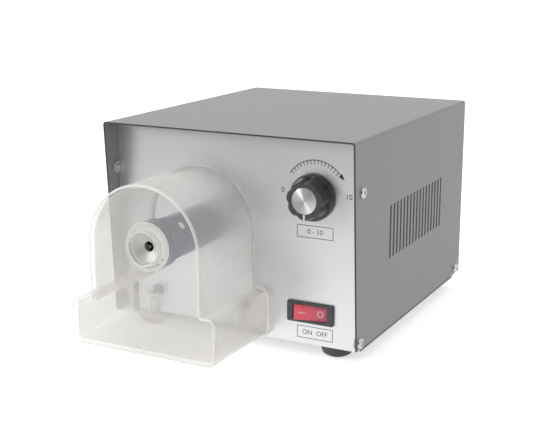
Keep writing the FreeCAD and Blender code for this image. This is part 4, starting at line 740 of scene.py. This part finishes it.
def knobShape():
    # Rows of radius, y and share of the flute. The skirt is round. Over the grip the radius runs from
    # the back radius to the front one, less the flute depth times a bell shaped by how near the angle
    # lies to the middle of a flute. The front edge rounds over to a flat land round the disc. The first
    # and last rows close the hollow behind and the disc's seat.
    v = knobValues
    front, back = frontAndBack("speed_knob")
    skirt, soft, hollow = v["skirtRadius"], v["skirtRound"], v["hollowRadius"]
    wide, narrow, foot = v["gripBack"], v["gripFront"], v["gripFoot"]
    skirtFront, floor = back - v["skirtHeight"], back - v["hollowDepth"]
    angle = np.arange(v["steps"]) * 2 * np.pi / v["steps"]
    phase = ((angle + np.pi / 2) * v["lobes"] / (2 * np.pi)) % 1
    flute = np.exp(-((phase - 0.5) / v["fluteWidth"] * 1.9) ** 2)
    rows = [(0, floor, 0), (hollow, floor, 0), (hollow, back, 0), (skirt - v["backRound"], back, 0),
            (skirt, back - v["backRound"], 0), (skirt, skirtFront + soft, 0),
            (skirt - 0.3 * soft, skirtFront + 0.3 * soft, 0), (skirt - soft, skirtFront, 0),
            (wide + foot, skirtFront, 0.6), (wide, skirtFront - foot, 1)]
    rows += [(wide + (narrow - wide) * t, skirtFront - (skirtFront - front) * t, 1)
             for t in np.linspace(0.08, 0.9, 8)]
    edge, r = narrow + (wide - narrow) * 0.1, v["gripRound"]
    rows += [(edge - r * (1 - math.cos(t)), front + r * (1 - math.sin(t)), 0.95)
             for t in np.radians([30, 60, 90])]
    disc, seat = v["discRadius"] + v["discGap"], front + v["discSeat"]
    rows += [(edge - 1.6, front, 0.55), (v["discRadius"] + v["land"], front, 0.1), (disc + 0.2, front, 0),
             (disc, front + 0.2, 0), (disc, seat, 0), (0, seat, 0)]
    radius, y, share = np.array(rows).T[:, :, None]
    radius = radius - v["fluteDepth"] * share * flute
    points = np.broadcast_arrays(knobX + radius * np.cos(angle), y, knobZ + radius * np.sin(angle))
    return np.stack(points, axis=-1).reshape(-1, 3), ringFaces(len(rows), v["steps"])


def makeKnob():
    v = knobValues
    grip = makePiece("knobGrip", *knobShape(), "mouldedBlackResin", "knob", "dark_plastic", v["crease"])
    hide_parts("speed_knob")
    front, back = frontAndBack("knob_disc")
    disc = v["discRadius"]
    profile = roundedPath([(0, front), (disc, front), (disc, back), (0, back)], v["discEdge"], closed=False)
    turned = turnedShape(profile, knobX, knobZ, 96)
    cap = makePiece("knobCap", *turned, "spunAluminium", "knob", "bright_aluminium")
    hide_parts("knob_disc")
    front = frontAndBack("speed_knob")[0]
    left, right = knobX - v["pointerWidth"] / 2, knobX + v["pointerWidth"] / 2
    inner, outer = knobZ - disc - 0.3, knobZ - v["gripFront"] + 0.25
    corners = [(left, outer), (right, outer), (right, inner), (left, inner)]
    line = slabShape(roundedPath(corners, v["pointerEdge"], 3), front - v["pointerProud"], front + 0.3)
    pointer = makePiece("pointerLine", *line, "whiteFilledPaint", "knob", "white_paint")
    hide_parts("knob_pointer")


makeKnob()
print("knob made")


# Printed marks on the panel
printValues = {
    "thickness": 0.03,
    "sunk": 0.02,
    "lineWidth": 0.5,
    "scaleOffset": (1.7, 2.3),  # the arc's centre from the knob's, X and Z
    "scaleFrom": 147.0, "scaleTo": 38.5,  # degrees from the right, anticlockwise
    "scaleRadius": 20.6, "scaleSteps": 80,
    "ticks": 15,
    "tickMargin": 5,  # degrees from the arc's ends to the outer ticks
    "tickLength": 2.4, "tickWidth": 0.45,
    "arrowLength": 4.2, "arrowWidth": 3.0,
    "knobFrame": ("0 - 10", (44.4, 68.5, 76.1, 83.7)),  # its words, and left, right, low, high
    "switchFrame": ("ON  OFF", (44.9, 69.0, 11.15, 18.8)),
    "frameLine": 0.38,
    "markSize": 4.6,
    "frameTextSize": 4.4,
    "low": ("0", 34.6, 104.2),
    "high": ("10", 78.5, 103.9),
}


def lettering(words, x, z, size):
    # centred words as a thin raised mesh that faces the front
    thickness = printValues["thickness"]
    curve = bpy.data.curves.new("lettering", "FONT")
    curve.body, curve.size, curve.extrude = words, size * mm, thickness / 2 * mm
    curve.align_x = curve.align_y = "CENTER"
    holder = addObject("lettering", curve)
    mesh = bpy.data.meshes.new_from_object(holder.evaluated_get(bpy.context.evaluated_depsgraph_get()))
    bpy.data.objects.remove(holder)
    bpy.data.curves.remove(curve)
    flat = np.zeros(len(mesh.vertices) * 3)
    mesh.vertices.foreach_get("co", flat)
    flat = flat.reshape(-1, 3) / mm
    points = np.column_stack([x + flat[:, 0], panelY - thickness / 2 - flat[:, 2], z + flat[:, 1]])
    faces = [list(p.vertices) for p in mesh.polygons]
    bpy.data.meshes.remove(mesh)
    return points, faces


def makePrint():
    v = printValues
    depth = (panelY - v["thickness"], panelY + v["sunk"])
    x, z = np.array([knobX, knobZ]) + v["scaleOffset"]
    arc = arcPoints(x, z, v["scaleRadius"], v["scaleFrom"], v["scaleTo"], v["scaleSteps"])
    parts = [lineShape(arc, v["lineWidth"], *depth)]
    first, last = v["scaleFrom"] - v["tickMargin"], v["scaleTo"] + v["tickMargin"]
    tickEnds = [arcPoints(x, z, v["scaleRadius"] - length, first, last, v["ticks"])
                for length in (0, v["tickLength"])]
    parts += [lineShape(ends, v["tickWidth"], *depth) for ends in zip(*tickEnds)]
    tip = arc[-1]
    ahead = (tip - arc[-4]) / np.linalg.norm(tip - arc[-4])
    across = np.array([-ahead[1], ahead[0]]) * v["arrowWidth"] / 2
    parts.append(slabShape([tip - across, tip + ahead * v["arrowLength"], tip + across], *depth))
    words = [lettering(*mark, v["markSize"]) for mark in (v["low"], v["high"])]
    for inside, (left, right, low, high) in (v["knobFrame"], v["switchFrame"]):
        corners = [(left, low), (right, low), (right, high), (left, high)]
        parts.append(lineShape(corners, v["frameLine"], *depth, closed=True))
        words.append(lettering(inside, (left + right) / 2, (low + high) / 2, v["frameTextSize"]))
    parts += words
    makePiece("printedMarks", *joinParts(parts), "blackScreenInk", "case", "dark_plastic")


makePrint()
print("panel printed")


# Switch: a bezel with soft edges and a red rocker with a bar for on and a ring for off
switchValues = {
    "edgeRound": 0.35,
    "pivotSetback": 2.0,  # behind the panel's face
    "faceRise": 4.2,  # from the pivot to the rocker's ends
    "halfLength": 11.5,
    "dish": 0.8,
    "tilt": 9.0,  # degrees, with the switch off
    "barX": -5.9, "barLength": 4.6,
    "ringX": 6.3, "ringRadius": 1.8,
    "lineWidth": 0.95,
    "lift": 0.04, "sunk": 0.05,  # of the marks over the rocker's face and into it
}


def onRocker(u, w, lift):
    # Along the rocker the face is dished: its depth is the dish times one less the square of the share
    # of the half length. The point is then turned about the pivot by the tilt.
    v = switchValues
    y = v["dish"] * (1 - (u / v["halfLength"]) ** 2) - v["faceRise"] - lift
    turn = math.radians(v["tilt"])
    x = u * math.cos(turn) - y * math.sin(turn)
    back = u * math.sin(turn) + y * math.cos(turn)
    return np.column_stack([switchX + x, panelY + v["pivotSetback"] + back, switchZ + w])


def makeSwitch():
    v = switchValues
    softenNode("switch_housing", "switchHousing", "erodedNylon", "case", v["edgeRound"])
    softenNode("switch_rocker", "switchRocker", "redPolycarbonate", "rocker", v["edgeRound"])
    half, reach = v["lineWidth"] / 2, v["barLength"] / 2
    bar = np.linspace(v["barX"] - reach, v["barX"] + reach, 9)
    barEdges = [np.column_stack([bar, np.full(len(bar), w)]) for w in (half, -half)]
    ringEdges = [circlePoints(v["ringX"], 0, v["ringRadius"] + w, 40) for w in (half, -half)]
    # each mark has four edges: outer and inner at the lifted face, and both again inside the rocker
    parts = []
    for (outer, inner), closed in ((barEdges, False), (ringEdges, True)):
        edges = [(outer, v["lift"]), (inner, v["lift"]), (inner, -v["sunk"]), (outer, -v["sunk"])]
        points = np.concatenate([onRocker(*edge.T, lift) for edge, lift in edges])
        parts.append((points, barFaces(len(outer), closed)))
    makePiece("rockerLegends", *joinParts(parts), "pinkLegendPaint", "rocker", "white_paint")


makeSwitch()
print("switch made")


# Cover screws: domed heads with a cross recess
screwValues = {
    "headRadius": 3.5, "headHeight": 2.0,
    "edgeHeight": 0.9,
    "shankRadius": 2.0, "shankLength": 3.2, "shankChamfer": 0.4,
    "recessHalf": 1.9, "recessWidth": 0.75, "recessDepth": 1.1,
    "recessSlopes": (0.3, 0.4),  # run of its sides and of its ends
    "steps": 64,
    "turn": (12, 48, 75),  # degrees that each screw stopped at
    "sideTurn": 25,  # more on the right side, less on the left
    "places": ((-62.65, 108.1), (-62.65, 14.4), (120.95, 14.4)),  # Y and Z
    "crease": 40,
}


def screwShape(side, y, z, turn):
    # The head's height over the seat falls from the middle to the edge as a circle's arc. The recess
    # lowers it where either distance from two crossed lines is under the recess width, and fades out
    # towards the ends of the cross. The last rows are the underside, the shank and its tip.
    v = screwValues
    head, half, shank, chamfer = v["headRadius"], v["recessHalf"], v["shankRadius"], v["shankChamfer"]
    angle = np.arange(v["steps"]) * 2 * np.pi / v["steps"]
    # the rings lie closer over the recess
    r = np.concatenate([np.linspace(0, half + 0.3, 12), np.linspace(half + 0.6, head, 6)])[:, None]
    dome = v["edgeHeight"] + (v["headHeight"] - v["edgeHeight"]) * np.sqrt(np.clip(1 - (r / head) ** 2, 0, 1))
    p, q = np.abs(r * np.cos(angle)), np.abs(r * np.sin(angle))
    sides, ends = v["recessSlopes"]
    share = np.clip((v["recessWidth"] - np.minimum(p, q)) / sides, 0, 1)
    share = share * np.clip((half - np.maximum(p, q)) / ends, 0, 1)
    height = dome - v["recessDepth"] * share
    tip = -v["shankLength"]
    below = np.array([(head, 0), (shank, 0), (shank, tip + chamfer), (shank - chamfer, tip), (0, tip)])
    r = np.concatenate([r, below[:, :1]])
    height = np.concatenate([height, np.repeat(below[:, 1:], v["steps"], axis=1)])
    spin = angle + math.radians(turn)
    seat = nodeBox("cover")[0 if side < 0 else 1][0]
    points = np.stack([seat + side * height, y + r * np.cos(spin), z + r * np.sin(spin)], axis=-1)
    return points.reshape(-1, 3), ringFaces(len(r), v["steps"])


def makeScrews():
    v = screwValues
    parts = [screwShape(side, y, z, turn + v["sideTurn"] * side) for side in (-1, 1)
             for turn, (y, z) in zip(v["turn"], v["places"])]
    joined = joinParts(parts)
    heads = makePiece("coverScrewHeads", *joined, "zincPlatedScrew", "case", "zinc_screw", v["crease"])
    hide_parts("cover_screws")


makeScrews()

# CAD nodes that only get soft edges: new name, finish, slot and the width of the rounded edge
softened = {
    "rubber_feet": ("rubberFeet", "mouldedRubber", "foot_rubber", 0.8),
    "cord_bushing": ("cordBushing", "erodedNylon", "dark_plastic", 0.4),
    "fuse_cap": ("fuseCap", "mouldedBlackResin", "dark_plastic", 0.4),
    "fuse_nut": ("fuseNut", "erodedNylon", "dark_plastic", 0.3),
}
for node, (name, finish, slot, width) in softened.items():
    softenNode(node, name, finish, "case", width)
print("screws, feet and rear pieces made")


# Floor, light and background, in m
lightValues = {
    "floorSize": 12.0,
    "floorColour": "#f0f0f0",
    "floorSeen": 0.6,  # added where the camera or clear plastic sees the floor: its open part is white
    "floorMirrored": (0.42, 1.25),  # in mirrored views: far in front, and beside the object
    "mirrorFade": (-0.9, -0.2),  # along Y
    "mirrorSide": (-0.6, -0.05),  # along X
    "mirrorLeft": 0.6,  # what is left of it at the far left
    "worldSeen": 1.0,
    "worldLight": 0.5,  # what lights the surfaces
    "lamps": {
        "topLamp": {"place": (-0.2, 0.3, 1.8), "aim": (0, 0, 0.1), "size": 1.6, "power": 10},
        "rightLamp": {"place": (2.0, -0.45, 0.8), "aim": (0, 0, 0.08), "size": 1.2, "power": 3.4},
        "leftLamp": {"place": (-1.7, -1.6, 0.8), "aim": (0, -0.05, 0.09), "size": 0.7, "power": 22},
    },
    # the dark end of the room behind the camera
    "card": {"place": (-0.6, -2.4, 1.1), "size": (5.0, 2.2), "colour": "#1c1c1e"},
}


def glow(tree, strength):
    # white light of a strength that comes from another node
    emission = addNode(tree, "ShaderNodeEmission", {"Color": (1, 1, 1, 1)}, {"Strength": strength})
    return emission.outputs[0]


def addSheet(name, corners, faces, material):
    mesh = bpy.data.meshes.new(name)
    mesh.from_pydata(corners, [], faces)
    mesh.materials.append(material)
    return addObject(name, mesh)


def makeWorld():
    v = lightValues
    world = bpy.data.worlds.new("studio")
    bpy.context.scene.world = world
    world.use_nodes = True
    tree = world.node_tree
    tree.nodes.clear()
    either = maths(tree, "MAXIMUM", rayKind(tree, "Camera"), rayKind(tree, "Glossy"))
    seen = maths(tree, "MAXIMUM", either, rayKind(tree, "Transmission"))
    strength = ranged(tree, seen, v["worldLight"], v["worldSeen"])
    back = addNode(tree, "ShaderNodeBackground", {"Color": (1, 1, 1, 1)}, {"Strength": strength})
    addNode(tree, "ShaderNodeOutputWorld", None, {"Surface": back.outputs["Background"]})


def makeFloor():
    # The lit floor keeps the shadow, and what is added lifts its open part to the white of the
    # background. Mirrored views see a plain glow instead, weaker towards the front and the left.
    v = lightValues
    material, tree = newMaterial("paleFloor")
    axis = axesOf(tree, objectPlace(tree))
    fade = ranged(tree, axis["Y"], *v["floorMirrored"], *v["mirrorFade"])
    side = ranged(tree, axis["X"], v["mirrorLeft"], 1.0, *v["mirrorSide"])
    either = maths(tree, "MAXIMUM", rayKind(tree, "Camera"), rayKind(tree, "Transmission"))
    lift = glow(tree, maths(tree, "MULTIPLY", either, v["floorSeen"]))
    matt = addNode(tree, "ShaderNodeBsdfDiffuse", {"Color": linearColour(v["floorColour"])})
    both = addNode(tree, "ShaderNodeAddShader", None, {0: matt.outputs[0], 1: lift})
    mirrored = glow(tree, maths(tree, "MULTIPLY", fade, side))
    putOut(tree, "ShaderNodeMixShader", None, {0: rayKind(tree, "Glossy"), 1: both.outputs[0], 2: mirrored})
    half = v["floorSize"] / 2
    corners = [(-half, -half, 0), (half, -half, 0), (half, half, 0), (-half, half, 0)]
    floor = addSheet("floor", corners, [(0, 1, 2, 3)], material)


def makeCard():
    # an upright dark grey card far in front that only mirrored views see
    v = lightValues["card"]
    (x, y, z), (width, height) = v["place"], v["size"]
    left, right, low, high = x - width / 2, x + width / 2, z - height / 2, z + height / 2
    material, tree = newMaterial("greyCard")
    putOut(tree, "ShaderNodeEmission", {"Color": linearColour(v["colour"])})
    corners = [(left, y, low), (right, y, low), (right, y, high), (left, y, high)]
    card = addSheet("card", corners, [(3, 2, 1, 0)], material)
    for kind in ("camera", "diffuse", "transmission", "volume_scatter", "shadow"):
        setattr(card, "visible_" + kind, False)


def makeLamps():
    for name, v in lightValues["lamps"].items():
        data = bpy.data.lights.new(name, "AREA")
        data.energy, data.size = v["power"], v["size"]
        lamp = addObject(name, data)
        lamp.location = v["place"]
        lamp.rotation_euler = (Vector(v["aim"]) - Vector(v["place"])).to_track_quat("-Z", "Y").to_euler()


makeWorld()
makeFloor()
makeCard()
makeLamps()
bpy.context.scene.view_settings.view_transform = "Standard"
print("floor and lamps set")
